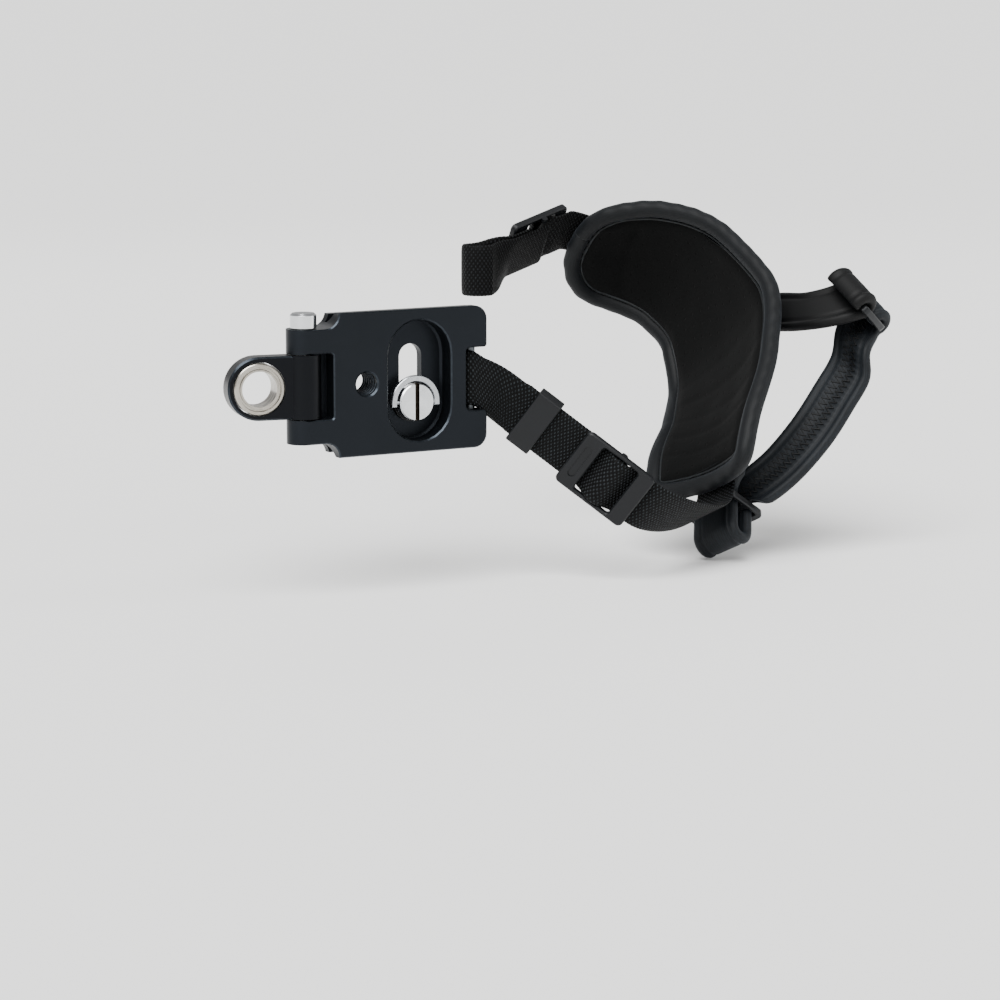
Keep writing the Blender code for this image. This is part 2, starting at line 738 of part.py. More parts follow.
def build_seat_pad():
    slot = obround(SLOT_HALF_WIDTH + 1, SLOT_HALF_WIDTH + 1 + SCREW_TRAVEL / 2, RECESS_X)
    hole = circle(THREAD_RADIUS + 1, centre=(HOLE_X, 0))
    facing = Matrix.Rotation(math.radians(90), 4, "X")
    mesh = extruded([seat_pad_outline(0), slot, hole], SEAT_PAD_THICK)
    add_part("seat_pad", mesh, RUBBER, place(0, -SEAT_PAD_THICK / 2, 0, facing))


def build_strap_bar():
    bottom = -PLATE_HALF_HEIGHT + PLATE_CORNER / 2
    bar = cylinder(BAR_RADIUS, bottom, NOTCH_TOP + BAR_SINK)
    add_part("strap_bar", bar, STEEL, place(BAR_X, MIDDLE_Y, 0))


def build_hinge():
    head_from = KNUCKLE_HALF_HEIGHT + GAP
    head_top = head_from + PIN_HEAD_HEIGHT
    profile = [
        (0, head_top),
        (PIN_HEAD_RADIUS - PIN_HEAD_CHAMFER, head_top),
        (PIN_HEAD_RADIUS, head_top - PIN_HEAD_CHAMFER),
        (PIN_HEAD_RADIUS, head_from),
        (PIN_RADIUS, head_from),
        (PIN_RADIUS, -KNUCKLE_HALF_HEIGHT + 0.4),
        (PIN_RADIUS - 0.4, -KNUCKLE_HALF_HEIGHT),
        (0, -KNUCKLE_HALF_HEIGHT),
    ]
    turned("hinge_pin", profile, STEEL, place(HINGE_X, MIDDLE_Y, 0))

    # The link is modelled straight to -X about the hinge's axis, then turned to its rest angle
    hinge = place(HINGE_X, MIDDLE_Y, 0, Matrix.Rotation(math.radians(LINK_REST_ANGLE), 4, "Z"))
    upright = Matrix.Rotation(math.radians(90), 4, "X")
    barrel = cylinder(BARREL_RADIUS, -LINK_HALF_HEIGHT, LINK_HALF_HEIGHT, 48)
    link = add_part("sling_link", barrel, ALUMINIUM, hinge)
    end = [
        (-LINK_REACH - LINK_HALF_HEIGHT * math.sin(a), LINK_HALF_HEIGHT * math.cos(a))
        for a in (math.pi * step / 24 for step in range(25))
    ]
    tab_outline = end + [(0, -LINK_HALF_HEIGHT), (0, LINK_HALF_HEIGHT)]
    tab = extruded([tab_outline], LINK_THICK, LINK_CHAMFER)
    boolean(link, add_cutter("link_tab", tab, hinge @ upright), "UNION")
    socket = cylinder(BUSHING_RADIUS + GAP, -LINK_THICK, LINK_THICK, 48)
    eye = hinge @ place(-LINK_REACH, 0, 0, upright)
    boolean(link, add_cutter("link_socket", socket, eye))
    pin_bore = cylinder(PIN_RADIUS + GAP, -LINK_HALF_HEIGHT - 1, LINK_HALF_HEIGHT + 1)
    boolean(link, add_cutter("link_bore", pin_bore, hinge))

    # Steel socket ring: a flat rim, a groove and an inner lip, the same on both faces
    face = LINK_THICK / 2 + BUSHING_PROUD
    lip = BUSHING_BORE + BUSHING_LIP
    groove = lip + BUSHING_GROOVE
    profile = [
        (groove, face),
        (BUSHING_RADIUS - 0.3, face),
        (BUSHING_RADIUS, face - 0.3),
        (BUSHING_RADIUS, -face + 0.3),
        (BUSHING_RADIUS - 0.3, -face),
        (groove, -face),
        (groove, -face + 0.6),
        (lip, -face + 0.6),
        (lip, -face),
        (BUSHING_BORE, -face),
        (BUSHING_BORE, face),
        (lip, face),
        (lip, face - 0.6),
        (groove, face - 0.6),
    ]
    bushing = turned("link_bushing", profile, STEEL, eye, closed=True)
    axis = add_object("link_axis", None, parts, hinge)
    for piece in (link, bushing):
        piece.parent = axis
        piece.matrix_parent_inverse = hinge.inverted()


def build_screw():
    """Captive screw in the recess. Its local Z points out of the front face."""
    facing = Matrix.Rotation(math.radians(90), 4, "X")
    at_screw = place(RECESS_X, 0, SCREW_Z, facing)
    washer_top = -FLOOR_Y + GAP + WASHER_THICK
    washer = [
        (WASHER_RADIUS, washer_top),
        (WASHER_RADIUS, washer_top - WASHER_THICK),
        (THREAD_RADIUS + GAP, washer_top - WASHER_THICK),
        (THREAD_RADIUS + GAP, washer_top),
    ]
    turned("screw_washer", washer, PLASTIC, at_screw, closed=True)

    head_back = -HEAD_BACK_Y
    head_front = head_back + HEAD_HEIGHT
    profile = [
        (0, head_front),
        (HEAD_RADIUS - HEAD_CHAMFER, head_front),
        (HEAD_RADIUS, head_front - HEAD_CHAMFER),
        (HEAD_RADIUS, head_back + HEAD_CHAMFER),
        (HEAD_RADIUS - HEAD_CHAMFER, head_back),
        (THREAD_RADIUS, head_back),
        (THREAD_RADIUS, -SHANK_REACH + 0.7),
        (THREAD_RADIUS - 0.7, -SHANK_REACH),
        (0, -SHANK_REACH),
    ]
    screw = turned("mounting_screw", profile, STEEL, at_screw)
    half = DRIVER_SLOT_WIDTH / 2
    slot = extruded([box_outline(-half, half, -8, 8)], 2 * DRIVER_SLOT_DEPTH)
    boolean(screw, add_cutter("driver_slot", slot, at_screw @ place(0, 0, head_front)))
    pivot = at_screw @ place(0, 0, -PIVOT_Y)
    sideways = Matrix.Rotation(math.radians(90), 4, "Y")
    inner_end = HEAD_RADIUS - RING_PIVOT_REACH
    for name, side in (("pivot_hole_left", -1), ("pivot_hole_right", 1)):
        first, last = sorted((side * (inner_end - GAP), side * (HEAD_RADIUS + 1)))
        hole = cylinder(RING_PIVOT_RADIUS + GAP, first, last, 16)
        boolean(screw, add_cutter(name, hole, pivot @ sideways))

    # Folding ring: half a flat ring with short legs and a pivot pin at each end
    outer = RING_INNER + RING_WIDTH
    leg = RING_PIVOT_RADIUS + 0.6
    turns = [math.pi * step / 24 for step in range(25)]
    outline = [(outer * math.cos(a), outer * math.sin(a)) for a in turns]
    outline += [(-outer, -leg), (-RING_INNER, -leg)]
    outline += [(RING_INNER * math.cos(a), RING_INNER * math.sin(a)) for a in reversed(turns)]
    outline += [(RING_INNER, -leg), (outer, -leg)]
    ring = add_part("screw_ring", extruded([outline], RING_THICK, 0.2), STEEL, pivot)
    for name, side in (("ring_pin_left", -1), ("ring_pin_right", 1)):
        first, last = sorted((side * inner_end, side * (RING_INNER + RING_WIDTH / 2)))
        pin = cylinder(RING_PIVOT_RADIUS, first, last, 16)
        boolean(ring, add_cutter(name, pin, pivot @ sideways), "UNION")


def build_buckle(name, matrix):
    """Tri-glide: two end bars, two rails and a lowered middle bar. Local X runs from the plate to the pad."""
    half = BUCKLE_WIDTH / 2
    window_half = half - BUCKLE_RAIL
    outer = box_outline(0, BUCKLE_LENGTH, -half, half, BUCKLE_CORNER)
    window = box_outline(BUCKLE_END_BAR, BUCKLE_LENGTH - BUCKLE_FAR_BAR, -window_half, window_half, 0.8)
    frame = extruded([outer, window], BUCKLE_THICK, BUCKLE_CHAMFER)
    buckle = add_part(name, frame, PLASTIC, matrix)
    bar = cylinder(MIDDLE_BAR_RADIUS, -half + 0.2, half - 0.2, 20)
    lying = Matrix.Rotation(math.radians(90), 4, "X")
    bar_place = place(MIDDLE_BAR_PLACE, 0, MIDDLE_BAR_LEVEL, lying)
    boolean(buckle, add_cutter(f"{name}_bar", bar, matrix @ bar_place), "UNION")
    mark = obround(1.1, half * 0.6)
    mark_cutter = extruded([mark], 2 * BUCKLE_MARK_DEPTH)
    mark_place = place(BUCKLE_END_BAR / 2, 0, BUCKLE_THICK / 2)
    boolean(buckle, add_cutter(f"{name}_mark", mark_cutter, matrix @ mark_place))


def buckle_strap(buckle, far_centre, far_along, far_across, far_radius, lead, straight_from, pad_stations):
    """Stations of a strap sewn round a buckle's middle bar, looped round a bar or eye and back to the pad."""
    across = buckle.to_3x3() @ Vector((0, 1, 0))
    along = buckle.to_3x3() @ Vector((1, 0, 0))
    outwards = buckle.to_3x3() @ Vector((0, 0, 1))
    far = frame_matrix(far_centre, far_along, far_across)
    far_across = far.to_3x3() @ Vector((0, 1, 0))
    far_along = far.to_3x3() @ Vector((1, 0, 0))
    far_outwards = far.to_3x3() @ Vector((0, 0, 1))

    def layer(side, steps=14):
        """One of the two layers, from the far loop to the start of the straight stretch."""
        start = Vector(far_centre) + far_along * lead
        end = frame_point(buckle, straight_from, 0, PAIR_LEVEL)
        pull = (end - start).length
        stations = []
        for step in range(steps + 1):
            t = step / steps
            centre = hermite(start, far_along * pull, end, along * SLACK * pull, t)
            late = max(0, (t - 0.2) / 0.8)
            ease = late * late * (3 - 2 * late)
            normal = far_outwards.lerp(outwards, ease).normalized()
            spread = far_radius + (PAIR_HALF - far_radius) * math.sin(t * math.pi / 2)
            stations.append((centre + normal * side * spread, far_across.lerp(across, ease)))
        return stations

    wrap = arc(buckle, MIDDLE_BAR_PLACE, MIDDLE_BAR_LEVEL, WRAP_RADIUS, WRAP_END_ANGLE, -90, 14)
    rear = [
        (frame_point(buckle, x, 0, REAR_LEVEL), across)
        for x in (MIDDLE_BAR_PLACE * 0.6, MIDDLE_BAR_PLACE * 0.2, straight_from * 0.5)
    ]
    stations = wrap + rear + list(reversed(layer(-1)))
    stations += arc(far, 0, 0, far_radius, -90, -270, 10)
    stations += layer(1)
    stations.append((frame_point(buckle, straight_from * 0.5, 0, MAIN_LEVEL), across))
    for step in range(-8, 9):
        shift = HUMP_HALF_LENGTH * step / 8
        rise = HUMP_HEIGHT * math.cos(math.pi * shift / (2 * HUMP_HALF_LENGTH)) ** 2
        stations.append((frame_point(buckle, MIDDLE_BAR_PLACE + shift, 0, MAIN_LEVEL + rise), across))
    leave = frame_point(buckle, BUCKLE_LENGTH + GAP, 0, MAIN_LEVEL)
    stations.append((leave, across))
    pad_along = (pad_stations[1][0] - pad_stations[0][0]).normalized()
    stations += bridge(leave, along, across, pad_stations[0][0], pad_along, pad_stations[0][1], 12)
    return stations + pad_stations


def build_straps():
    section = web_section(WEB_WIDTH, WEB_THICK)
    sewn = SEWN_LENGTH / PAD_LENGTH
    edge = BINDING_RADIUS * 2 / PAD_LENGTH

    lower = frame_matrix(BUCKLE_PLACE, BUCKLE_ALONG, BUCKLE_ACROSS)
    build_buckle("lower_buckle", lower)
    keeper_far = -KEEPER_TO_BUCKLE
    straight_from = keeper_far - KEEPER_LENGTH - 1
    on_pad = pad_run(1 - edge, 1 - edge - sewn, 0, -WEB_ON_PAD, 8, overhang=WEB_OVERHANG)
    bar_centre = (BAR_X, MIDDLE_Y, BAR_Z)
    bar_wrap = BAR_RADIUS + LAYER_GAP + WEB_THICK / 2
    lead = BAR_INSET + GAP
    stations = buckle_strap(lower, bar_centre, (1, 0, 0), (0, 0, 1), bar_wrap, lead, straight_from, on_pad)
    add_part("lower_webbing", ribbon(stations, section), WEBBING)

    # Sleeve that keeps the two layers together
    inner_half = WEB_WIDTH / 2 + GAP
    inner_deep = PAIR_HALF + WEB_THICK / 2 + GAP
    outer_half = inner_half + KEEPER_WALL
    outer_deep = inner_deep + KEEPER_WALL
    outer = box_outline(-outer_half, outer_half, -outer_deep, outer_deep, 0.8)
    inner = box_outline(-inner_half, inner_half, -inner_deep, inner_deep, 0.4)
    sleeve = extruded([outer, inner], KEEPER_LENGTH, 0.25)
    standing = Matrix(((0, 0, 1, 0), (1, 0, 0, 0), (0, 1, 0, 0), (0, 0, 0, 1)))
    keeper_place = place(keeper_far - KEEPER_LENGTH / 2, 0, PAIR_LEVEL, standing)
    add_part("strap_keeper", sleeve, PLASTIC, lower @ keeper_place)

    upper = frame_matrix(UPPER_BUCKLE_PLACE, UPPER_BUCKLE_ALONG, UPPER_BUCKLE_ACROSS)
    build_buckle("upper_buckle", upper)
    on_pad = pad_run(edge, edge + sewn, 0, -WEB_ON_PAD, 8, flip=-1)
    eye_centre = frame_point(upper, -EYE_DISTANCE, 0, PAIR_LEVEL)
    stations = buckle_strap(upper, eye_centre, EYE_ALONG, EYE_ACROSS, EYE_RADIUS, 1.0, -1.5, on_pad)
    add_part("upper_webbing", ribbon(stations, section), WEBBING)


def build_hand_pad():
    pad_layer("pad_cover", COVER_FROM, COVER_THICK, LYCRA, LAYER_INSET)
    pad_layer("pad_foam", FOAM_FROM, FOAM_THICK, SPACER, FOAM_INSET)
    pad_layer("pad_lining", LINING_FROM, LINING_THICK, SPACER, LAYER_INSET)

    curve = bpy.data.curves.new("pad_binding", "CURVE")
    curve.dimensions = "3D"
    curve.bevel_depth = BINDING_RADIUS * MM
    curve.bevel_resolution = 2
    outline = pad_outline(BINDING_RADIUS)
    spline = curve.splines.new("POLY")
    spline.points.add(len(outline) - 1)
    for point, place_on_edge in zip(spline.points, outline):
        point.co = (*(place_on_edge * MM), 1)
    spline.use_cyclic_u = True
    add_part("pad_binding", mesh_from_curve(curve), LYCRA)


def build_slider(name, matrix, length, bar_places):
    """Metal frame for a wrist band, with bars across it at the given places along its length."""
    half = SLIDER_WIDTH / 2
    rail = half - BAND_WIDTH / 2 - GAP
    outlines = [box_outline(-length / 2, length / 2, -half, half, SLIDER_CORNER)]
    edges = [-length / 2] + bar_places + [length / 2]
    for first, last in zip(edges[::2], edges[1::2]):
        left = first + (SLIDER_BAR if first == edges[0] else SLIDER_BAR / 2)
        right = last - (SLIDER_BAR if last == edges[-1] else SLIDER_BAR / 2)
        outlines.append(box_outline(left, right, -half + rail, half - rail, 0.5))
    frame = extruded(outlines, SLIDER_THICK, SLIDER_CHAMFER)
    return add_part(name, frame, STEEL, matrix)


def build_wrist_loop():
    section = band_section(BAND_WIDTH, BAND_THICK)
    upper = frame_matrix(UPPER_SLIDER_PLACE, UPPER_SLIDER_ALONG, UPPER_SLIDER_ACROSS)
    build_slider("wrist_upper_slider", upper, UPPER_SLIDER_LENGTH, [])
    bar = UPPER_SLIDER_LENGTH / 2 - SLIDER_BAR / 2
    wrap = SLIDER_BAR / 2 + 0.35 + BAND_THICK / 2

    # Short band: from the pad's back, past its edge and round the slider's upper bar
    middle = 4 / 7
    centre, along, across, inwards = pad_frame(middle)
    stations = []
    for x in (-12, -6, 0, 5, 10, 15):
        stations.append((centre + across * x - inwards * BAND_ON_PAD, along))
    free = [(Vector(point), Vector(width)) for point, width in INNER_BAND_STATIONS]
    hook = arc(upper, -bar, 0, wrap, 20, -220, 14)
    stations += smooth_run(stations[-1:] + free + hook[:1], 5)[1:-1]
    stations += hook
    add_part("wrist_inner_band", ribbon(stations, section), LYCRA)

    # Long band: round the slider's lower bar, down to the lower slider, a turn, and up the pad's back
    hook = arc(upper, bar, 0, wrap, 150, 385, 14)
    lower = frame_matrix(LOWER_SLIDER_PLACE, LOWER_SLIDER_ALONG, LOWER_SLIDER_ACROSS)
    build_slider("wrist_lower_slider", lower, LOWER_SLIDER_LENGTH, [0, 0])
    width = lower.to_3x3() @ Vector((0, 1, 0))
    step_in = PASS_SPACING / 2
    down = [(frame_point(lower, step_in, 0, z), width) for z in (-3.5, -1, 1.5, 4)]
    turn = arc(lower, 0, TURN_DROP, step_in, 0, 180, 10)
    up = [(frame_point(lower, -step_in, 0, z), width) for z in (4, 1.5, -1, -3)]
    free = [(Vector(point), Vector(side)) for point, side in OUTER_BAND_STATIONS]
    stations = hook + smooth_run(hook[-1:] + free + down[:1], 3)[1:-1] + down + turn + up
    on_pad = pad_run(0.95, 0.80, 0, -BAND_OVER_WEB, 6)
    stations += smooth_run(up[-1:] + on_pad[:1], 2)[1:-1] + on_pad
    add_part("wrist_outer_band", ribbon(stations, section), LYCRA)


def smooth_run(stations, steps):
    """Stations on a smooth curve through the given ones."""
    centres = [centre for centre, across in stations]
    widths = [across for centre, across in stations]
    count = steps * (len(stations) - 1)
    return [(spline_value(centres, i / count), spline_value(widths, i / count)) for i in range(count + 1)]


def main():
    build_base_plate()
    build_seat_pad()
    build_strap_bar()
    build_hinge()
    build_screw()
    build_straps()
    build_hand_pad()
    build_wrist_loop()
    bpy.context.view_layer.update()


parts = bpy.data.collections.new("hand_grip_strap")
cutters = bpy.data.collections.new("cutters")
bpy.context.scene.collection.children.link(parts)
bpy.context.scene.collection.children.link(cutters)
main()
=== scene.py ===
import bisect
import math

import bmesh
import bpy
import numpy as np
from mathutils import Matrix, Vector, noise


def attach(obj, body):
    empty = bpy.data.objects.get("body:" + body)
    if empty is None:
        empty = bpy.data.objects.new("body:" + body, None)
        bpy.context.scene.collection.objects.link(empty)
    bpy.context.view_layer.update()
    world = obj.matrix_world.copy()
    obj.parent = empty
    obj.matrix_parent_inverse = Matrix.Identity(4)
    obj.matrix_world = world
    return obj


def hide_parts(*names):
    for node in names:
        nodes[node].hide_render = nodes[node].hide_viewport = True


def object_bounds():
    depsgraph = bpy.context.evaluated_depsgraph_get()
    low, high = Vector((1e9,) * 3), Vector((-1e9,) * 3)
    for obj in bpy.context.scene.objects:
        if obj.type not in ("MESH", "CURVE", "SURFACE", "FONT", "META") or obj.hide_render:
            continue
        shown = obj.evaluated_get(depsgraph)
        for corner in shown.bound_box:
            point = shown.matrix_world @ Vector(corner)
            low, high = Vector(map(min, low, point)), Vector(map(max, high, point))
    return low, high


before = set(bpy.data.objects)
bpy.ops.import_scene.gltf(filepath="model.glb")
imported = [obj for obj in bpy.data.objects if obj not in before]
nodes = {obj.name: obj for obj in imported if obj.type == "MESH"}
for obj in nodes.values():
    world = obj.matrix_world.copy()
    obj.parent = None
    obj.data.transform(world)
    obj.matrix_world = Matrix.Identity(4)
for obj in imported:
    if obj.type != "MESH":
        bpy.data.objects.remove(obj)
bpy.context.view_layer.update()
mm = 0.001
waveTurn = 0.314  # a Wave texture repeats every 0.314 / Scale
strapBody = "plate_and_straps"
mergeReach = 0.001 * mm


# Colours and nodes

def linearColour(hexText):
    channels = [int(hexText[i:i + 2], 16) / 255 for i in (0, 2, 4)]
    return [c / 12.92 if c <= 0.04045 else ((c + 0.055) / 1.055) ** 2.4 for c in channels] + [1.0]


def addNode(tree, kind, settings=None, links=None):
    # the node's own settings come first, because they choose which inputs it has
    node = tree.nodes.new("ShaderNode" + kind)
    for name, value in (settings or {}).items():
        if isinstance(name, str) and name not in node.inputs:
            setattr(node, name, value)
    for name, value in (settings or {}).items():
        if not isinstance(name, str) or name in node.inputs:
            node.inputs[name].default_value = value
    for name, output in (links or {}).items():
        tree.links.new(output, node.inputs[name])
    return node


def startMaterial(name, settings):
    material = bpy.data.materials.new(name)
    material.use_nodes = True
    shader = material.node_tree.nodes["Principled BSDF"]
    for socket, value in settings.items():
        shader.inputs[socket].default_value = value
    return material, material.node_tree, shader


def finishSurface(tree, shader, tone, colours, gloss=None, relief=None):
    # the tone goes from the first colour to the second, the gloss (amount, low, high) from a low
    # roughness to a high one, and the relief is (height, strength, distance)
    first, second = [linearColour(colour) for colour in colours]
    mix = addNode(tree, "Mix", {"data_type": "RGBA", 6: first, 7: second}, {0: tone})
    tree.links.new(mix.outputs[2], shader.inputs["Base Color"])
    if gloss:
        spread = addNode(tree, "MapRange", {"To Min": gloss[1], "To Max": gloss[2]}, {"Value": gloss[0]})
        tree.links.new(spread.outputs["Result"], shader.inputs["Roughness"])
    if relief:
        bump = addNode(tree, "Bump", {"Strength": relief[1], "Distance": relief[2]}, {"Height": relief[0]})
        tree.links.new(bump.outputs["Normal"], shader.inputs["Normal"])


# Wrought aluminium, bead-blasted and anodised: satin, even, a faint grain and soft wide highlights.
# The grit is about 0.1 mm and is drawn at 0.25 mm so that it shows.
def anodisedAluminium(name, colours, rough):
    material, tree, shader = startMaterial(name, {"Metallic": 0.85, "Roughness": rough})
    place = addNode(tree, "TexCoord")
    grit = addNode(tree, "TexNoise", {"Scale": 1 / (0.25 * mm), "Detail": 2.0},
                   {"Vector": place.outputs["Object"]})
    cloud = addNode(tree, "TexNoise", {"Scale": 1 / (16.7 * mm), "Detail": 3.0},
                    {"Vector": place.outputs["Object"]})
    base = addNode(tree, "Math", {"operation": "MULTIPLY_ADD", 1: 0.4, 2: 0.3}, {0: cloud.outputs["Fac"]})
    tone = addNode(tree, "Math", {"operation": "MULTIPLY_ADD", 1: 0.35},
                   {0: grit.outputs["Fac"], 2: base.outputs[0]})
    finishSurface(tree, shader, tone.outputs[0], colours, (grit.outputs["Fac"], rough - 0.06, rough + 0.08),
                  (grit.outputs["Fac"], 0.12, 0.05 * mm))
    return material


# The same aluminium on its chamfers: a paler grey with a short grain, a painted highlight where the edges
# catch the light.
def chamferHighlight(name, colours):
    material, tree, shader = startMaterial(name, {"Metallic": 1.0, "Roughness": 0.28})
    place = addNode(tree, "TexCoord")
    marks = addNode(tree, "TexNoise", {"Scale": 1 / (0.55 * mm), "Detail": 3.0},
                    {"Vector": place.outputs["Object"]})
    finishSurface(tree, shader, marks.outputs["Fac"], colours, (marks.outputs["Fac"], 0.2, 0.4))
    return material


# Stainless steel turned on a lathe: a bright face with fine, darker rings about its axis.
# The tool's feed is about 0.1 mm a turn and is drawn at 0.3 mm.
def turnedSteel(name, centre, axis, colours, rough):
    material, tree, shader = startMaterial(name, {"Metallic": 1.0, "Roughness": rough})
    place = addNode(tree, "TexCoord")
    centred = addNode(tree, "Mapping", {"Location": [-c for c in centre]},
                      {"Vector": place.outputs["Object"]})
    rings = addNode(tree, "TexWave", {"wave_type": "RINGS", "rings_direction": axis,
                                      "Scale": waveTurn / (0.3 * mm),
                                      "Distortion": 1.2, "Detail": 2.0, "Detail Scale": 3.0},
                    {"Vector": centred.outputs["Vector"]})
    smear = addNode(tree, "TexNoise", {"Scale": 1 / (3.33 * mm), "Detail": 4.0},
                    {"Vector": place.outputs["Object"]})
    tone = addNode(tree, "Math", {"operation": "MULTIPLY"},
                   {0: rings.outputs["Fac"], 1: smear.outputs["Fac"]})
    finishSurface(tree, shader, tone.outputs[0], colours, (smear.outputs["Fac"], rough - 0.08, rough + 0.14),
                  (rings.outputs["Fac"], 0.25, 0.02 * mm))
    return material


# Steel wire and strip that was stamped and tumbled: bright, with soft random scuffs about 1 mm long.
# Under black nickel the same scuffs show as dark satin.
def tumbledSteel(name, colours, rough, metallic=1.0):
    material, tree, shader = startMaterial(name, {"Metallic": metallic, "Roughness": rough})
    place = addNode(tree, "TexCoord")
    scuffs = addNode(tree, "TexNoise", {"Scale": 1 / (1.11 * mm), "Detail": 5.0, "Roughness": 0.65},
                     {"Vector": place.outputs["Object"]})
    amount = scuffs.outputs["Fac"]
    finishSurface(tree, shader, amount, colours, (amount, rough - 0.08, rough + 0.12),
                  (amount, 0.15, 0.03 * mm))
    return material


# Acetal or nylon, injection moulded against a spark-eroded tool: satin, with a fine even orange-peel grain.
# The grain is about 0.1 mm and is drawn at 0.4 mm.
def mouldedPlastic(name, colours):
    material, tree, shader = startMaterial(name, {"Roughness": 0.42, "IOR": 1.48, "Specular IOR Level": 0.25})
    place = addNode(tree, "TexCoord")
    grain = addNode(tree, "TexNoise", {"Scale": 1 / (0.385 * mm), "Detail": 2.0},
                    {"Vector": place.outputs["Object"]})
    cloud = addNode(tree, "TexNoise", {"Scale": 1 / (8.33 * mm), "Detail": 2.0},
                    {"Vector": place.outputs["Object"]})
    finishSurface(tree, shader, cloud.outputs["Fac"], colours, (grain.outputs["Fac"], 0.34, 0.54),
                  (grain.outputs["Fac"], 0.2, 0.05 * mm))
    return material


# Nitrile rubber pressed in a cross-hatched mould: dull, with a 1 mm grip pattern.
def pressedRubber(name, colours):
    material, tree, shader = startMaterial(name, {"Roughness": 0.85, "IOR": 1.52})
    place = addNode(tree, "TexCoord")
    turned = addNode(tree, "Mapping", {"Rotation": (0.0, math.radians(45), 0.0),
                                       "Scale": (1 / mm, 1.0, 1 / mm)},
                     {"Vector": place.outputs["Object"]})
    axes = addNode(tree, "SeparateXYZ", None, {"Vector": turned.outputs["Vector"]})
    waves = []
    for side in ("X", "Z"):
        around = addNode(tree, "Math", {"operation": "MULTIPLY", 1: math.pi}, {0: axes.outputs[side]})
        wave = addNode(tree, "Math", {"operation": "SINE"}, {0: around.outputs[0]})
        waves.append(addNode(tree, "Math", {"operation": "ABSOLUTE"}, {0: wave.outputs[0]}))
    hatch = addNode(tree, "Math", {"operation": "MINIMUM"},
                    {0: waves[0].outputs[0], 1: waves[1].outputs[0]})
    finishSurface(tree, shader, hatch.outputs[0], colours, relief=(hatch.outputs[0], 0.5, 0.2 * mm))
    return material


# Nylon webbing in a plain weave: warp yarns stand up between the picks; their crowns are painted lighter as
# short dashes, a painted highlight, with painted shade in the gaps. The pitches are the real ones, read along
# and across the strap from its own run map.
def wovenNylon(name, colours, warpPitch, weftPitch):
    material, tree, shader = startMaterial(name, {"Roughness": 0.62, "IOR": 1.53, "Specular IOR Level": 0.1,
                                                  "Sheen Weight": 0.02, "Sheen Roughness": 0.4})
    run = addNode(tree, "UVMap", {"uv_map": "run"})
    axes = addNode(tree, "SeparateXYZ", None, {"Vector": run.outputs["UV"]})
    yarns = addNode(tree, "Math", {"operation": "DIVIDE", 1: warpPitch}, {0: axes.outputs["Y"]})
    picks = addNode(tree, "Math", {"operation": "DIVIDE", 1: weftPitch}, {0: axes.outputs["X"]})
    yarn = addNode(tree, "Math", {"operation": "FLOOR"}, {0: yarns.outputs[0]})
    inYarn = addNode(tree, "Math", {"operation": "FRACT"}, {0: yarns.outputs[0]})
    phase = addNode(tree, "Math", {"operation": "MULTIPLY_ADD", 1: 0.5},
                    {0: yarn.outputs[0], 2: picks.outputs[0]})
    around = addNode(tree, "Math", {"operation": "MULTIPLY", 1: math.tau}, {0: phase.outputs[0]})
    overUnder = addNode(tree, "Math", {"operation": "SINE"}, {0: around.outputs[0]})
    raised = addNode(tree, "Math", {"operation": "MAXIMUM", 1: 0.0}, {0: overUnder.outputs[0]})
    half = addNode(tree, "Math", {"operation": "MULTIPLY", 1: math.pi}, {0: inYarn.outputs[0]})
    crown = addNode(tree, "Math", {"operation": "SINE"}, {0: half.outputs[0]})
    height = addNode(tree, "Math", {"operation": "MULTIPLY"}, {0: raised.outputs[0], 1: crown.outputs[0]})
    # the raised crowns get a lighter colour, a painted highlight broken up by noise; the gaps stay black as
    # painted shade
    unevenGlint = addNode(tree, "TexNoise", {"Scale": 1 / (1.43 * mm), "Detail": 3.0}, {"Vector": run.outputs["UV"]})
    paintedGlint = addNode(tree, "Math", {"operation": "MULTIPLY"}, {0: height.outputs[0], 1: unevenGlint.outputs["Fac"]})
    paintedHighlight = addNode(tree, "MapRange", {"From Min": 0.08, "From Max": 0.5}, {"Value": paintedGlint.outputs[0]})
    finishSurface(tree, shader, paintedHighlight.outputs["Result"], colours, relief=(height.outputs[0], 0.9, 0.3 * mm))
    return material


# Nylon and elastane jersey over foam: soft and matt, a pale bloom at grazing angles, fine ribs along it.
# The wales are 0.35 mm apart and are drawn at 0.7 mm.
def jerseyKnit(name, colours, sheen):
    material, tree, shader = startMaterial(name, {"Roughness": 0.6, "IOR": 1.5, "Specular IOR Level": 0.2,
                                                  "Sheen Weight": sheen, "Sheen Roughness": 0.45,
                                                  "Sheen Tint": linearColour("8E98A4")})
    run = addNode(tree, "UVMap", {"uv_map": "run"})
    ribs = addNode(tree, "TexWave", {"wave_type": "BANDS", "bands_direction": "Y",
                                     "Scale": waveTurn / (0.7 * mm),
                                     "Distortion": 6.0, "Detail": 3.0, "Detail Scale": 2.5},
                   {"Vector": run.outputs["UV"]})
    fuzz = addNode(tree, "TexNoise", {"Scale": 1 / (0.417 * mm), "Detail": 3.0},
                   {"Vector": run.outputs["UV"]})
    cloud = addNode(tree, "TexNoise", {"Scale": 1 / (11.1 * mm), "Detail": 3.0},
                    {"Vector": run.outputs["UV"]})
    height = addNode(tree, "Math", {"operation": "MULTIPLY_ADD", 1: 0.5},
                     {0: fuzz.outputs["Fac"], 2: ribs.outputs["Fac"]})
    tone = addNode(tree, "Math", {"operation": "MULTIPLY"}, {0: cloud.outputs["Fac"], 1: height.outputs[0]})
    finishSurface(tree, shader, tone.outputs[0], colours, relief=(height.outputs[0], 0.12, 0.05 * mm))
    return material


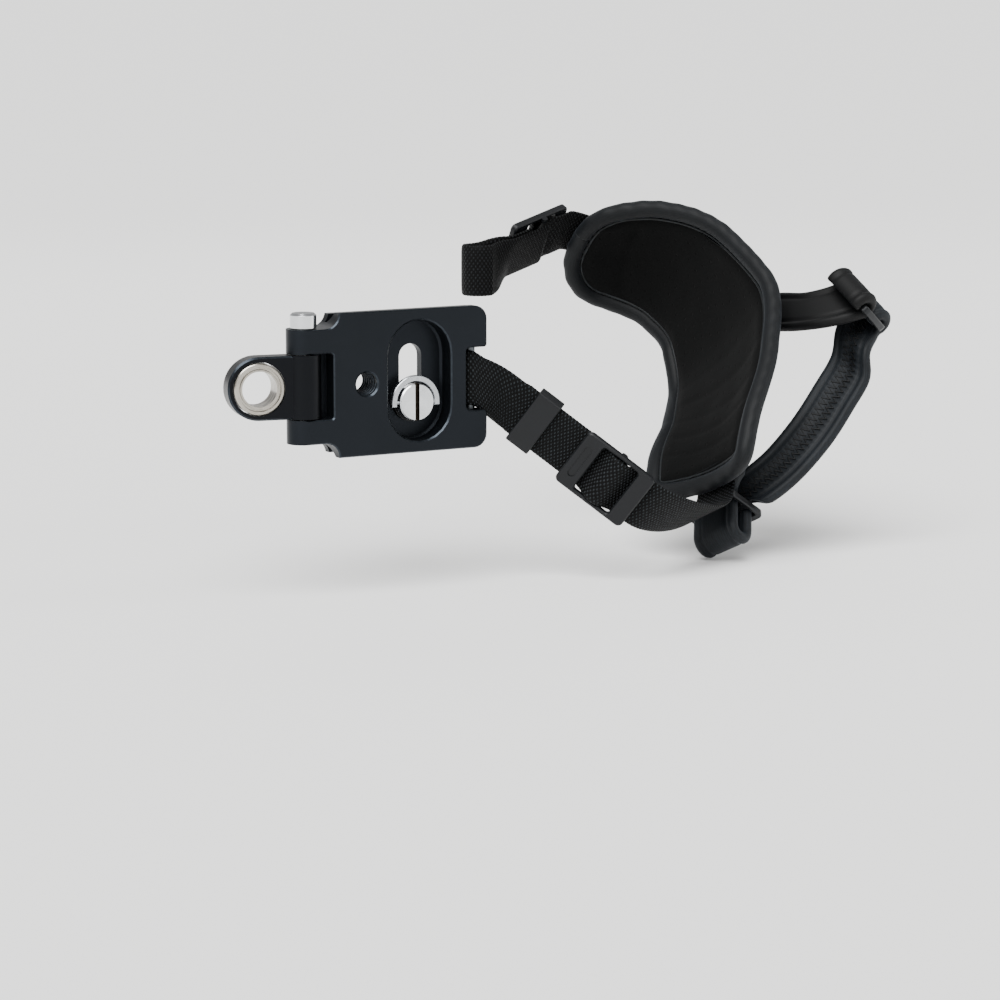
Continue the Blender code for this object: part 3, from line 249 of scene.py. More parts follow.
# Brushed polyester tricot, laminated on foam and punched with fine holes on a slanting grid: very dull.
def perforatedTricot(name, colours, spacing, holeRadius, slant):
    material, tree, shader = startMaterial(name, {"Roughness": 0.9, "IOR": 1.5, "Specular IOR Level": 0.12,
                                                  "Sheen Weight": 0.01, "Sheen Roughness": 0.5})
    run = addNode(tree, "UVMap", {"uv_map": "run"})
    turned = addNode(tree, "Mapping", {"Rotation": (0.0, 0.0, math.radians(slant))},
                     {"Vector": run.outputs["UV"]})
    holes = addNode(tree, "TexVoronoi", {"voronoi_dimensions": "2D", "Scale": 1 / spacing, "Randomness": 0.0},
                    {"Vector": turned.outputs["Vector"]})
    solid = addNode(tree, "MapRange", {"From Min": 0.7 * holeRadius / spacing,
                                       "From Max": holeRadius / spacing},
                    {"Value": holes.outputs["Distance"]})
    nap = addNode(tree, "TexNoise", {"Scale": 1 / (0.625 * mm), "Detail": 4.0}, {"Vector": run.outputs["UV"]})
    tone = addNode(tree, "Math", {"operation": "MULTIPLY"},
                   {0: solid.outputs["Result"], 1: nap.outputs["Fac"]})
    height = addNode(tree, "Math", {"operation": "MULTIPLY_ADD", 1: 0.12},
                     {0: nap.outputs["Fac"], 2: solid.outputs["Result"]})
    finishSurface(tree, shader, tone.outputs[0], colours, relief=(height.outputs[0], 0.6, 0.3 * mm))
    return material


# Bonded polyester or nylon thread: a slight shine and a twist of 0.45 mm.
def sewingThread(name, colours):
    material, tree, shader = startMaterial(name, {"Roughness": 0.5, "IOR": 1.55, "Specular IOR Level": 0.2})
    place = addNode(tree, "TexCoord")
    twist = addNode(tree, "TexWave", {"wave_type": "BANDS", "bands_direction": "DIAGONAL",
                                      "Scale": waveTurn / (0.45 * mm)},
                    {"Vector": place.outputs["Object"]})
    finishSurface(tree, shader, twist.outputs["Fac"], colours, relief=(twist.outputs["Fac"], 0.3, 0.05 * mm))
    return material


# Meshes

def makePiece(name, bm, material, body, replaced=()):
    mesh = bpy.data.meshes.new(name)
    bm.to_mesh(mesh)
    bm.free()
    mesh.materials.append(material)
    mesh.shade_smooth()
    piece = bpy.data.objects.new(name, mesh)
    bpy.context.scene.collection.objects.link(piece)
    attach(piece, body)
    if replaced:
        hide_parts(*replaced)
    return piece


def layGrid(rows, columns, pointAt, runAt):
    # a flat grid whose points are carried to their places, and what meets there is merged
    bm = bmesh.new()
    run = bm.loops.layers.uv.new("run")
    bmesh.ops.create_grid(bm, x_segments=rows, y_segments=columns, size=0.5)
    shares = {vert: (vert.co.x + 0.5, vert.co.y + 0.5) for vert in bm.verts}
    for face in bm.faces:
        for loop in face.loops:
            loop[run].uv = runAt(*shares[loop.vert])
    for vert, (first, second) in shares.items():
        vert.co = pointAt(first, second)
    bmesh.ops.remove_doubles(bm, verts=bm.verts, dist=mergeReach)
    return bm


def closeEnds(bm):
    openEdges = [edge for edge in bm.edges if edge.is_boundary]
    if openEdges:
        bmesh.ops.holes_fill(bm, edges=openEdges, sides=0)
    bmesh.ops.recalc_face_normals(bm, faces=bm.faces)
    return bm


def layersFrom(start):
    # rings of points at each number of edges away from the first ring
    layers, seen = [list(start)], set(start)
    while layers[-1]:
        following = []
        for vert in layers[-1]:
            for edge in vert.link_edges:
                other = edge.other_vert(vert)
                if other not in seen:
                    seen.add(other)
                    following.append(other)
        layers.append(following)
    return layers[:-1]


readWork = {"ringSize": 8, "weldReach": 0.002 * mm, "flatness": 0.01 * mm, "ringReach": 20 * mm}


def readRun(node, outwardHint):
    # a strap's solid is a skin over rings of points: its centre line, width and outer side, ring by ring
    w = readWork
    bm = bmesh.new()
    bm.from_mesh(nodes[node].data)
    bmesh.ops.remove_doubles(bm, verts=bm.verts, dist=w["weldReach"])
    bm.normal_update()
    bm.verts.ensure_lookup_table()
    tip = layersFrom([layersFrom([bm.verts[0]])[-1][0]])[-1][0]
    rings = None
    for face in tip.link_faces:
        flat = [v for v in bm.verts if abs((v.co - tip.co).dot(face.normal)) < w["flatness"]
                and (v.co - tip.co).length < w["ringReach"]]
        if len(flat) != w["ringSize"]:
            continue
        found = layersFrom(flat)
        if all(len(ring) == w["ringSize"] for ring in found):
            rings = found
            break
    if rings is None:
        raise RuntimeError(f"{node} has no even rings")
    centres, widths = [], []
    for ring in rings:
        points = np.array([v.co[:] for v in ring])
        centre = points.mean(0)
        across = Vector(np.linalg.svd(points - centre)[2][0])
        if widths and across.dot(widths[-1]) < 0:
            across = -across
        centres.append(Vector(centre))
        widths.append(across)
    bm.free()
    stations = []
    for index, (centre, across) in enumerate(zip(centres, widths)):
        along = centres[min(index + 1, len(centres) - 1)] - centres[max(index - 1, 0)]
        stations.append((centre, across, along.cross(across).normalized()))
    facing = sum(out.dot(Vector(outwardHint) - centre) for centre, across, out in stations)
    if facing > 0:
        stations = [(centre, -across, -out) for centre, across, out in stations]
    return stations


def measureRun(stations):
    marks = [0.0]
    for before, after in zip(stations, stations[1:]):
        marks.append(marks[-1] + (after[0] - before[0]).length)
    return marks


def runPlace(stations, marks, distance):
    # centre, width direction and outer side at a distance along a strap, on a smooth curve
    index = min(max(bisect.bisect_right(marks, distance) - 1, 0), len(marks) - 2)
    span = marks[index + 1] - marks[index]
    t = min(max((distance - marks[index]) / span, 0.0), 1.0)

    def slope(i):
        low, high = max(i - 1, 0), min(i + 1, len(marks) - 1)
        return (stations[high][0] - stations[low][0]) / (marks[high] - marks[low])

    start, end = stations[index][0], stations[index + 1][0]
    centre = (start * (2 * t ** 3 - 3 * t ** 2 + 1) + slope(index) * span * (t ** 3 - 2 * t ** 2 + t)
              + end * (3 * t ** 2 - 2 * t ** 3) + slope(index + 1) * span * (t ** 3 - t ** 2))
    across = stations[index][1].lerp(stations[index + 1][1], t).normalized()
    outwards = stations[index][2].lerp(stations[index + 1][2], t).normalized()
    return centre, across, outwards


def faceRun(stations):
    # adds the outer side to each (centre, across)
    faced = []
    for index, (centre, across) in enumerate(stations):
        along = stations[min(index + 1, len(stations) - 1)][0] - stations[max(index - 1, 0)][0]
        across = across.normalized()
        faced.append((centre, across, along.cross(across).normalized()))
    return faced


def layStrap(name, stations, work, sectionAt, material, replaced):
    # a closed section swept along a strap: sectionAt gives the side offset and the height in metres
    marks = measureRun(stations)
    total = marks[-1]
    rows = int(total / work["rowStep"])
    places = {}

    def pointAt(first, second):
        distance = first * total
        key = round(first * rows)
        if key not in places:
            places[key] = runPlace(stations, marks, distance)
        centre, across, outwards = places[key]
        side, height = sectionAt(distance, second * math.tau)
        return centre + across * side + outwards * height

    def runAt(first, second):
        return first * total, sectionAt(first * total, second * math.tau)[0]

    bm = closeEnds(layGrid(rows, work["columns"], pointAt, runAt))
    return makePiece(name, bm, material, strapBody, replaced)


def layThread(name, paths, radius, material, closed=False, sides=1):
    # sewing thread as round curves along paths, made into one mesh
    curve = bpy.data.curves.new(name, "CURVE")
    curve.dimensions = "3D"
    curve.bevel_depth = radius
    curve.bevel_resolution = sides
    curve.use_fill_caps = True
    for path in paths:
        spline = curve.splines.new("POLY")
        spline.points.add(len(path) - 1)
        for point, place in zip(spline.points, path):
            point.co = (*place, 1)
        spline.use_cyclic_u = closed
    holder = bpy.data.objects.new(name + "Path", curve)
    bpy.context.scene.collection.objects.link(holder)
    bpy.context.view_layer.update()
    mesh = bpy.data.meshes.new_from_object(holder.evaluated_get(bpy.context.evaluated_depsgraph_get()))
    bpy.data.objects.remove(holder)
    bpy.data.curves.remove(curve)
    bm = bmesh.new()
    bm.from_mesh(mesh)
    bpy.data.meshes.remove(mesh)
    bmesh.ops.remove_doubles(bm, verts=bm.verts, dist=mergeReach)
    bmesh.ops.recalc_face_normals(bm, faces=bm.faces)
    makePiece(name, bm, material, strapBody)


def sewDashes(name, places, length, radius, material):
    # single stitches, each a small flattened ball of thread: places of (centre, along, outwards)
    flatness = 0.7
    bm = bmesh.new()
    for centre, along, outwards in places:
        side = along.cross(outwards).normalized()
        turn = Matrix((along.normalized(), side, outwards)).transposed().to_4x4()
        size = Matrix.Diagonal((length / 2, radius, radius * flatness, 1.0))
        bmesh.ops.create_uvsphere(bm, u_segments=8, v_segments=5, radius=1.0,
                                  matrix=Matrix.Translation(centre) @ turn @ size)
    makePiece(name, bm, material, strapBody)


# Metal and moulded parts: they keep their solids and get their finishes

metalWork = {
    # the edge colours are a painted highlight on the plate's and the link's chamfers
    "plateColours": ("0D0F12", "1E2227"), "linkColours": ("08090B", "121418"),
    "edgeHighlightColours": ("1C1F23", "3C4147"), "mouldedColours": ("090A0C", "101215"),
    "weldReach": 0.002 * mm, "edgeWidth": 0.12 * mm, "edgeAngle": 35.0,
    "socketEdge": 0.08 * mm, "pinEdge": 0.1 * mm,
    "screwCentre": (8.6 * mm, 0.0, -6.2 * mm),
    "hingeCentre": (-24.3 * mm, -5.25 * mm, 0.0),
    "socketCentre": (-37.2 * mm, -2.98 * mm, 0.0),
    "barCentre": (26.4 * mm, -5.25 * mm, 0.0),
    # the plate's chamfers with a painted highlight: how far back they reach, how they lean, what the hinge
    # keeps clear
    "chamferBack": -9.55 * mm, "chamferLean": (0.45, 0.95), "knuckleClear": 0.4 * mm, "topLean": 0.3,
    # the link's chamfers with a painted highlight: its turn, how they lean, what the barrel keeps clear
    "linkAngle": -10.0, "linkLean": (0.5, 0.9), "barrelClear": 4.8 * mm,
    "slotHalf": 0.7 * mm, "slotFrom": -8.35 * mm, "slotTo": -6.4 * mm,
}


def dressNode(node, material, edge=0.0):
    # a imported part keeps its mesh; merged and softly bevelled edges catch the light as real ones do
    part = nodes[node]
    mesh = part.data
    mesh.materials.clear()
    mesh.materials.append(material)
    if "custom_normal" in mesh.attributes:
        mesh.attributes.remove(mesh.attributes["custom_normal"])
    mesh.shade_smooth()
    weld = part.modifiers.new("weld", "WELD")
    weld.merge_threshold = metalWork["weldReach"]
    if edge:
        bevel = part.modifiers.new("edges", "BEVEL")
        bevel.width = edge
        bevel.segments = 2
        bevel.limit_method = "ANGLE"
        bevel.angle_limit = math.radians(metalWork["edgeAngle"])
        bevel.harden_normals = True
    split = part.modifiers.new("split", "EDGE_SPLIT")
    split.split_angle = math.radians(metalWork["edgeAngle"])


def paintFaces(node, material, isPainted):
    # a second colour on the faces that pass a test on their middle and their direction: here a painted
    # highlight on chamfers and painted shade in the screw's slot
    mesh = nodes[node].data
    mesh.materials.append(material)
    for face in mesh.polygons:
        if isPainted(face.center, face.normal):
            face.material_index = len(mesh.materials) - 1


def isPlateHighlightChamfer(middle, facing):
    w = metalWork
    leans = w["chamferLean"][0] < -facing.y < w["chamferLean"][1]
    clear = middle.x > w["hingeCentre"][0] + w["knuckleClear"] or abs(facing.z) > w["topLean"]
    return leans and clear and middle.y < w["chamferBack"]


def isLinkHighlightChamfer(middle, facing):
    w = metalWork
    across = Matrix.Rotation(math.radians(w["linkAngle"]), 3, "Z") @ Vector((0, 1, 0))
    leans = w["linkLean"][0] < abs(facing.dot(across)) < w["linkLean"][1]
    return leans and middle.x < w["hingeCentre"][0] - w["barrelClear"]


# the faces inside the screw's slot, which get painted shade
def isShadedScrewSlot(middle, facing):
    w = metalWork
    return w["slotFrom"] < middle.y < w["slotTo"] and abs(middle.x - w["screwCentre"][0]) < w["slotHalf"]


print("dressing the plate")
w = metalWork
# the chamfers get a paler grey as a painted highlight
edgeHighlightMetal = chamferHighlight("AluminiumChamferPaintedHighlight", w["edgeHighlightColours"])
socketSteel = turnedSteel("TurnedSteelSocket", w["socketCentre"], "Y", ("B9B4AA", "5E5B57"), rough=0.2)
pinSteel = turnedSteel("PolishedSteelPin", w["hingeCentre"], "Z", ("D8DADC", "606366"), rough=0.16)
barSteel = turnedSteel("GroundSteelBar", w["barCentre"], "Z", ("55585B", "2A2C2E"), rough=0.3)
screwSteel = turnedSteel("TurnedSteelScrew", w["screwCentre"], "Y", ("E0E2E4", "A4A7AA"), rough=0.2)
# painted shade: the slot's faces are a dark brown steel, the recess's shade painted into the colour
slotShadeSteel = turnedSteel("SteelSlotPaintedShade", w["screwCentre"], "Y", ("4A443C", "1C1916"), rough=0.35)
dressNode("base_plate", anodisedAluminium("AnodisedAluminiumPlate", w["plateColours"], rough=0.4))
paintFaces("base_plate", edgeHighlightMetal, isPlateHighlightChamfer)
dressNode("sling_link", anodisedAluminium("AnodisedAluminiumLink", w["linkColours"], rough=0.32))
paintFaces("sling_link", edgeHighlightMetal, isLinkHighlightChamfer)
dressNode("link_bushing", socketSteel, w["socketEdge"])
dressNode("hinge_pin", pinSteel, w["pinEdge"])
dressNode("strap_bar", barSteel)
dressNode("mounting_screw", screwSteel, w["edgeWidth"])
paintFaces("mounting_screw", slotShadeSteel, isShadedScrewSlot)
dressNode("screw_ring", tumbledSteel("TumbledSteelRing", ("8D9195", "CFD2D5"), rough=0.26), w["edgeWidth"])
# a dark moulded nylon washer, whose dark ring also stands for the shadow the screw's head casts on the recess
# floor
dressNode("screw_washer", mouldedPlastic("MouldedNylonWasherAndShadow", ("0B0C0D", "131416")))
dressNode("seat_pad", pressedRubber("PressedNitrileRubber", ("0C0D0E", "1D1F21")), w["edgeWidth"])

for node, title in (("lower_buckle", "MouldedAcetalBuckle"), ("strap_keeper", "MouldedAcetalKeeper"),
                    ("upper_buckle", "MouldedAcetalUpperBuckle")):
    dressNode(node, mouldedPlastic(title, w["mouldedColours"]), w["edgeWidth"])
for node, title in (("wrist_upper_slider", "BlackNickelUpperSlider"),
                    ("wrist_lower_slider", "BlackNickelLowerSlider")):
    dressNode(node, tumbledSteel(title, ("131416", "232527"), rough=0.34, metallic=0.6), w["edgeWidth"])


# Threads: quarter-inch, 20 turns to the inch, cut on the screw's shank and in the plate's hole

threadWork = {
    "pitch": 1.27 * mm, "stepsPerTurn": 40, "flanks": (0.32, 0.44, 0.76),
    "shankRoot": 3.1 * mm, "shankCrest": 3.38 * mm, "shankFrom": -3.6 * mm, "shankTurns": 6.2,
    "holeRoot": 3.25 * mm, "holeCrest": 2.85 * mm, "holeFrom": -9.3 * mm, "holeTurns": 6.4,
    "holeCentre": (-7.5 * mm, 0.0, 0.0),
}


def cutThread(name, centre, startY, root, crest, turns, body, material):
    # a ridge from root to crest and back, spun up its pitch; the flanks are shares of one turn
    w = threadWork
    bm = bmesh.new()
    rise, fall, foot = [share * w["pitch"] for share in w["flanks"]]
    verts = [bm.verts.new((centre[0] + radius, startY + y, centre[2]))
             for radius, y in ((root, 0.0), (crest, rise), (crest, fall), (root, foot))]
    for index in range(len(verts)):
        bm.edges.new((verts[index - 1], verts[index]))
    steps = int(turns * w["stepsPerTurn"])
    bmesh.ops.spin(bm, geom=bm.verts[:] + bm.edges[:], cent=(centre[0], 0, centre[2]), axis=(0, 1, 0),
                   dvec=(0, turns * w["pitch"] / steps, 0), angle=turns * math.tau, steps=steps,
                   use_merge=False, use_duplicate=False)
    closeEnds(bm)
    makePiece(name, bm, material, body)


print("cutting the threads")
w = threadWork
shankSteel = turnedSteel("RolledSteelThread", metalWork["screwCentre"], "Y", ("C6C9CC", "8C8F92"), rough=0.28)
holeMetal = anodisedAluminium("AnodisedAluminiumThread", ("1B1E22", "30353B"), rough=0.4)
cutThread("shankThread", metalWork["screwCentre"], w["shankFrom"], w["shankRoot"], w["shankCrest"],
          w["shankTurns"], "screw", shankSteel)
cutThread("holeThread", w["holeCentre"], w["holeFrom"], w["holeRoot"], w["holeCrest"],
          w["holeTurns"], strapBody, holeMetal)


# Webbing: 15 mm nylon, with the picks of its edges standing out a little

webWork = {
    "width": 15.0 * mm, "thick": 1.1 * mm, "edgePick": 0.09 * mm, "pickPitch": 1.15 * mm,
    "rowStep": 0.38 * mm, "columns": 22, "squareness": 9, "edgeSharpness": 12, "lift": 0.04 * mm,
    "warpPitch": 0.85 * mm, "weftPitch": 1.15 * mm,
    "lowerHand": (60 * mm, 60 * mm, 20 * mm), "upperHand": (90 * mm, 20 * mm, 0.0),
    "barPlace": (26.4 * mm, -5.25 * mm, -1.3 * mm), "keeperPlace": (41.1 * mm, -8.6 * mm, -10.65 * mm),
    "nearPull": 8.0 * mm, "pullIn": 0.16, "pullOut": 0.2,
    "boxPitch": 2.2 * mm, "boxLift": 0.05 * mm, "boxRadius": 0.26 * mm, "boxInset": 1.6 * mm,
    "boxLength": 9.5 * mm, "boxDash": (0.2, 0.8), "dashShare": 0.7,
}


def webSection(distance, turn):
    w = webWork
    share = math.cos(turn)
    pick = w["edgePick"] * math.sin(math.tau * distance / w["pickPitch"]) * abs(share) ** w["edgeSharpness"]
    height = (1 - abs(share) ** w["squareness"]) ** 0.5 * w["thick"] / 2
    ripple = w["lift"] * math.sin(math.tau * distance / w["pickPitch"])
    side = share * w["width"] / 2 + math.copysign(pick, share)
    return side, math.copysign(height + ripple, math.sin(turn))


def straightenRun(stations, first, last):
    # pulls a strap tight between two places: its middle line goes straight down, its width turns evenly
    start, end = Vector(first), Vector(last)
    chord = end - start
    pulled, turned = [], []
    widthAtEnd = min(stations, key=lambda station: (station[0] - end).length)[1]
    for centre, across, outwards in stations:
        t = (centre - start).dot(chord) / chord.length_squared
        if 0 < t < 1 and (centre - start - chord * t).length < webWork["nearPull"]:
            hold = min(1.0, t / webWork["pullIn"]) * min(1.0, (1 - t) / webWork["pullOut"])
            hold = hold * hold * (3 - 2 * hold)
            upright = Vector((0, 0, math.copysign(1, across.z)))
            other = widthAtEnd if widthAtEnd.dot(across) > 0 else -widthAtEnd
            ease = t * t * (3 - 2 * t)
            centre = Vector((centre.x, centre.y, centre.z + hold * (start.z + chord.z * t - centre.z)))
            across = across.lerp(upright.lerp(other, ease), hold).normalized()
        pulled.append((centre, across))
        turned.append(outwards)
    faced = faceRun(pulled)
    return [(centre, across, out if out.dot(before) > 0 else -out)
            for (centre, across, out), before in zip(faced, turned)]


print("laying the webbing")
w = webWork
lowerRun = straightenRun(readRun("lower_webbing", w["lowerHand"]), w["barPlace"], w["keeperPlace"])
upperRun = readRun("upper_webbing", w["upperHand"])
# the pale colour of each webbing is the painted highlight on its yarn crowns
lowerWeb = wovenNylon("WovenNylonLowerWebbing", ("000000", "2A2E31"), w["warpPitch"], w["weftPitch"])
# the upper webbing is a darker copy of the same nylon: its painted highlight is dimmed, as painted shade
shadedUpperWeb = wovenNylon("WovenNylonUpperWebbingPaintedShade", ("000000", "1C1F21"), w["warpPitch"], w["weftPitch"])
layStrap("lowerStrap", lowerRun, w, webSection, lowerWeb, ("lower_webbing",))
layStrap("upperStrap", upperRun, w, webSection, shadedUpperWeb, ("upper_webbing",))


# Box stitches with a cross that sew the webbing's ends to the pad's back

def boxStitch(name, run, fromEnd):
    # the sewn end is the run's first or last stretch
    w = webWork
    marks = measureRun(run)
    half = w["width"] / 2 - w["boxInset"]
    first = marks[-1] - w["boxInset"] - w["boxLength"] if fromEnd else w["boxInset"]
    last = first + w["boxLength"]
    corners = [(first, -half), (last, -half), (last, half), (first, half)]
    legs = [(corners[i - 1], corners[i]) for i in range(4)]
    legs += [(corners[0], corners[2]), (corners[1], corners[3])]
    places = []
    for start, end in legs:
        count = int(math.dist(start, end) / w["boxPitch"])
        for step in range(count):
            points = []
            for share in [(step + tip) / count for tip in w["boxDash"]]:
                centre, across, outwards = runPlace(run, marks, start[0] + (end[0] - start[0]) * share)
                points.append(centre + across * (start[1] + (end[1] - start[1]) * share)
                              + outwards * (w["thick"] / 2 + w["boxLift"]))
            places.append(((points[0] + points[1]) / 2, points[1] - points[0], outwards))
    sewDashes(name, places, w["boxPitch"] * w["dashShare"], w["boxRadius"], boxThread)


print("sewing the webbing's ends")
boxThread = sewingThread("BondedNylonBoxThread", ("15181A", "3A3F43"))
boxStitch("upperBoxStitch", upperRun, False)
boxStitch("lowerBoxStitch", lowerRun, True)


# The hand pad's middle surface, on the same design points as its solid: centre, across, half width

padWork = {
    "stations": [
        ((99.5, 65.0, 29.5), (0.00, -0.62, 0.78), 19.5),
        ((114.5, 62.0, 26.0), (0.00, -0.62, 0.78), 21.0),
        ((125.5, 52.0, 22.0), (0.00, -0.68, 0.73), 24.0),
        ((131.0, 38.0, 14.0), (0.05, -0.75, 0.66), 26.5),
        ((130.5, 23.0, 0.5), (0.10, -0.80, 0.60), 29.5),
        ((120.0, 7.0, -12.5), (0.15, -0.85, 0.50), 26.5),
        ((106.5, -6.0, -25.0), (0.20, -0.90, 0.40), 23.5),
        ((99.5, -13.5, -36.5), (0.25, -0.92, 0.30), 20.5),
    ],
    "cup": 4.0 * mm, "endCup": 5.5 * mm,
    "upperCorner": 17.0 * mm, "lowerCorner": 7.0 * mm,
    "bindingRadius": 2.6 * mm, "slopeStep": 0.01,
}
padCentres = [Vector(centre) * mm for centre, across, half in padWork["stations"]]
padAcross = [Vector(across).normalized() for centre, across, half in padWork["stations"]]
padHalves = [half * mm for centre, across, half in padWork["stations"]]
padLength = sum((after - before).length for before, after in zip(padCentres, padCentres[1:]))


def smoothValue(values, position):
    spans = len(values) - 1
    index = min(int(position * spans), spans - 1)
    t = position * spans - index
    p1, p2 = values[index], values[index + 1]
    p0 = values[index - 1] if index > 0 else p1 + (p1 - p2)
    p3 = values[index + 2] if index + 2 <= spans else p2 + (p2 - p1)
    return 0.5 * (2 * p1 + (p2 - p0) * t + (2 * p0 - 5 * p1 + 4 * p2 - p3) * t * t
                  + (3 * p1 - p0 - 3 * p2 + p3) * t ** 3)


def padFrame(u):
    # centre, directions along and across, and the direction towards the hand
    step = padWork["slopeStep"]
    along = smoothValue(padCentres, min(u + step, 1)) - smoothValue(padCentres, max(u - step, 0))
    along.normalize()
    across = smoothValue(padAcross, u)
    across = (across - along * across.dot(along)).normalized()
    return smoothValue(padCentres, u), along, across, along.cross(across)


def padPoint(u, side, lift=0.0):
    centre, along, across, inwards = padFrame(u)
    cup = padWork["cup"] + (padWork["endCup"] - padWork["cup"]) * u
    return centre + across * side + inwards * (lift + cup * (side / smoothValue(padHalves, u)) ** 2)


def padHalf(u, inset):
    half = smoothValue(padHalves, u) - inset
    for distance, corner in ((u * padLength - inset, padWork["upperCorner"] - inset),
                             ((1 - u) * padLength - inset, padWork["lowerCorner"] - inset)):
        if corner > 0 and distance < corner:
            short = 1 - max(distance, 0.0) / corner
            half -= corner * (1 - math.sqrt(1 - short * short))
    return half


def lieOnPad(first, last, lift, steps):
    stations = []
    for step in range(steps + 1):
        centre, along, across, inwards = padFrame(first + (last - first) * step / steps)
        stations.append((centre + inwards * lift, across))
    return stations


# Wrist bands: knit over foam, piped along both edges, the long one with a double zigzag seam

bandRoute = {
    "upperSlider": ((152.5, -11.0, 14.5), (0.75, 0.40, -0.52), (0.09, -0.85, -0.52)),
    "lowerSlider": ((109.0, -7.0, -45.5), (0.83, 0.13, -0.54), (0.41, -0.80, 0.44)),
    "upperBar": 5.5 * mm, "wrap": 3.05 * mm, "passes": 3.2 * mm, "turnDrop": 7.5 * mm,
    "onPad": 4.62 * mm, "overWeb": 6.02 * mm,
    # arcs: first and last angle, steps
    "innerHook": (20, -220, 14), "outerHook": (150, 385, 14), "footTurn": (0, 180, 10),
    # where the ends lie on the pad, and heights inside the lower slider, in mm
    "innerAt": 4 / 7, "innerSides": (-12, -6, 0, 5, 10, 15), "outerEnd": (0.95, 0.80), "outerEndSteps": 6,
    "downHeights": (-3.5, -1, 1.5, 4), "upHeights": (4, 1.5, -1, -3),
    "innerSmooth": 5, "outerSmooth": 3, "endSmooth": 2,
    # free stretches: centre in mm, across
    "innerFree": [
        ((138.5, 4.0, 11.0), (-0.28, -0.72, -0.64)),
        ((141.0, -4.0, 12.0), (-0.20, -0.80, -0.56)),
        ((145.0, -9.0, 13.5), (-0.10, -0.83, -0.54)),
    ],
    "outerFree": [
        ((151.2, -11.0, 3.5), (0.15, -0.87, -0.46)),
        ((149.6, -12.0, -4.5), (0.25, -0.88, -0.40)),
        ((144.2, -12.0, -12.5), (0.29, -0.88, -0.36)),
        ((136.4, -12.0, -22.5), (0.29, -0.88, -0.37)),
        ((127.2, -11.0, -32.0), (0.22, -0.89, -0.39)),
        ((118.0, -10.0, -38.5), (0.20, -0.90, -0.35)),
    ],
}


def frameAt(origin, along, across):
    along = Vector(along).normalized()
    across = Vector(across)
    across = (across - along * across.dot(along)).normalized()
    place = Matrix((along, across, along.cross(across))).transposed().to_4x4()
    place.translation = Vector(origin) * mm
    return place


def arcStations(place, centreX, centreZ, radius, first, last, steps):
    across = place.to_3x3() @ Vector((0, 1, 0))
    turns = [math.radians(first + (last - first) * step / steps) for step in range(steps + 1)]
    return [(place @ Vector((centreX + radius * math.cos(a), 0, centreZ + radius * math.sin(a))), across)
            for a in turns]


def smoothRun(stations, steps):
    centres = [centre for centre, across in stations]
    widths = [across for centre, across in stations]
    count = steps * (len(stations) - 1)
    return [(smoothValue(centres, i / count), smoothValue(widths, i / count)) for i in range(count + 1)]


def innerBandRun():
    r = bandRoute
    upper = frameAt(*r["upperSlider"])
    centre, along, across, inwards = padFrame(r["innerAt"])
    onPad = [(centre + across * side * mm - inwards * r["onPad"], along) for side in r["innerSides"]]
    free = [(Vector(point) * mm, Vector(width)) for point, width in r["innerFree"]]
    hook = arcStations(upper, -r["upperBar"], 0.0, r["wrap"], *r["innerHook"])
    return faceRun(onPad + smoothRun(onPad[-1:] + free + hook[:1], r["innerSmooth"])[1:-1] + hook)


def outerBandRun():
    r = bandRoute
    hook = arcStations(frameAt(*r["upperSlider"]), r["upperBar"], 0.0, r["wrap"], *r["outerHook"])
    lower = frameAt(*r["lowerSlider"])
    width = lower.to_3x3() @ Vector((0, 1, 0))
    down = [(lower @ Vector((r["passes"], 0, z * mm)), width) for z in r["downHeights"]]
    turn = arcStations(lower, 0.0, r["turnDrop"], r["passes"], *r["footTurn"])
    up = [(lower @ Vector((-r["passes"], 0, z * mm)), width) for z in r["upHeights"]]
    free = [(Vector(point) * mm, Vector(side)) for point, side in r["outerFree"]]
    stations = hook + smoothRun(hook[-1:] + free + down[:1], r["outerSmooth"])[1:-1] + down + turn + up
    onPad = lieOnPad(*r["outerEnd"], -r["overWeb"], r["outerEndSteps"])
    return faceRun(stations + smoothRun(up[-1:] + onPad[:1], r["endSmooth"])[1:-1] + onPad)


bandWork = {
    "width": 15.5 * mm, "thick": 3.0 * mm, "rowStep": 0.6 * mm, "columns": 56,
    "pipeCentre": 6.2 * mm, "pipeWidth": 0.95 * mm, "pipeHeight": 0.22 * mm,
    "grooveCentre": 4.75 * mm, "grooveWidth": 0.42 * mm, "grooveDepth": 0.42 * mm,
    "seamDip": 0.4 * mm, "seamWidth": 2.0 * mm,
    "zigzagPitch": 1.9 * mm, "zigzagReach": 1.25 * mm, "zigzagOffset": 1.4 * mm, "zigzagEnd": 3 * mm,
    "threadRadius": 0.32 * mm, "threadLift": 0.06 * mm,
    "pucker": 0.2 * mm, "puckerCentre": 2.6 * mm, "puckerWidth": 1.0 * mm,
    "edgeCrowding": 0.8, "endRound": 1.2 * mm,
}


def bandHeight(side, distance, outer, seamed):
    w = bandWork
    radius = w["thick"] / 2
    inner = w["width"] / 2 - radius
    over = max(0.0, abs(side) - inner) / radius
    height = radius * math.sqrt(max(0.0, 1 - over * over))
    flat = 1 - over
    height += flat * w["pipeHeight"] * math.exp(-((abs(side) - w["pipeCentre"]) / w["pipeWidth"]) ** 2)
    height -= flat * w["grooveDepth"] * math.exp(-((abs(side) - w["grooveCentre"]) / w["grooveWidth"]) ** 2)
    if seamed and outer:
        dip = math.exp(-(side / w["seamWidth"]) ** 2)
        height -= w["seamDip"] * dip
        height += w["pucker"] * math.cos(math.tau * distance / w["zigzagPitch"]) * (
            math.exp(-((abs(side) - w["puckerCentre"]) / w["puckerWidth"]) ** 2))
    return height


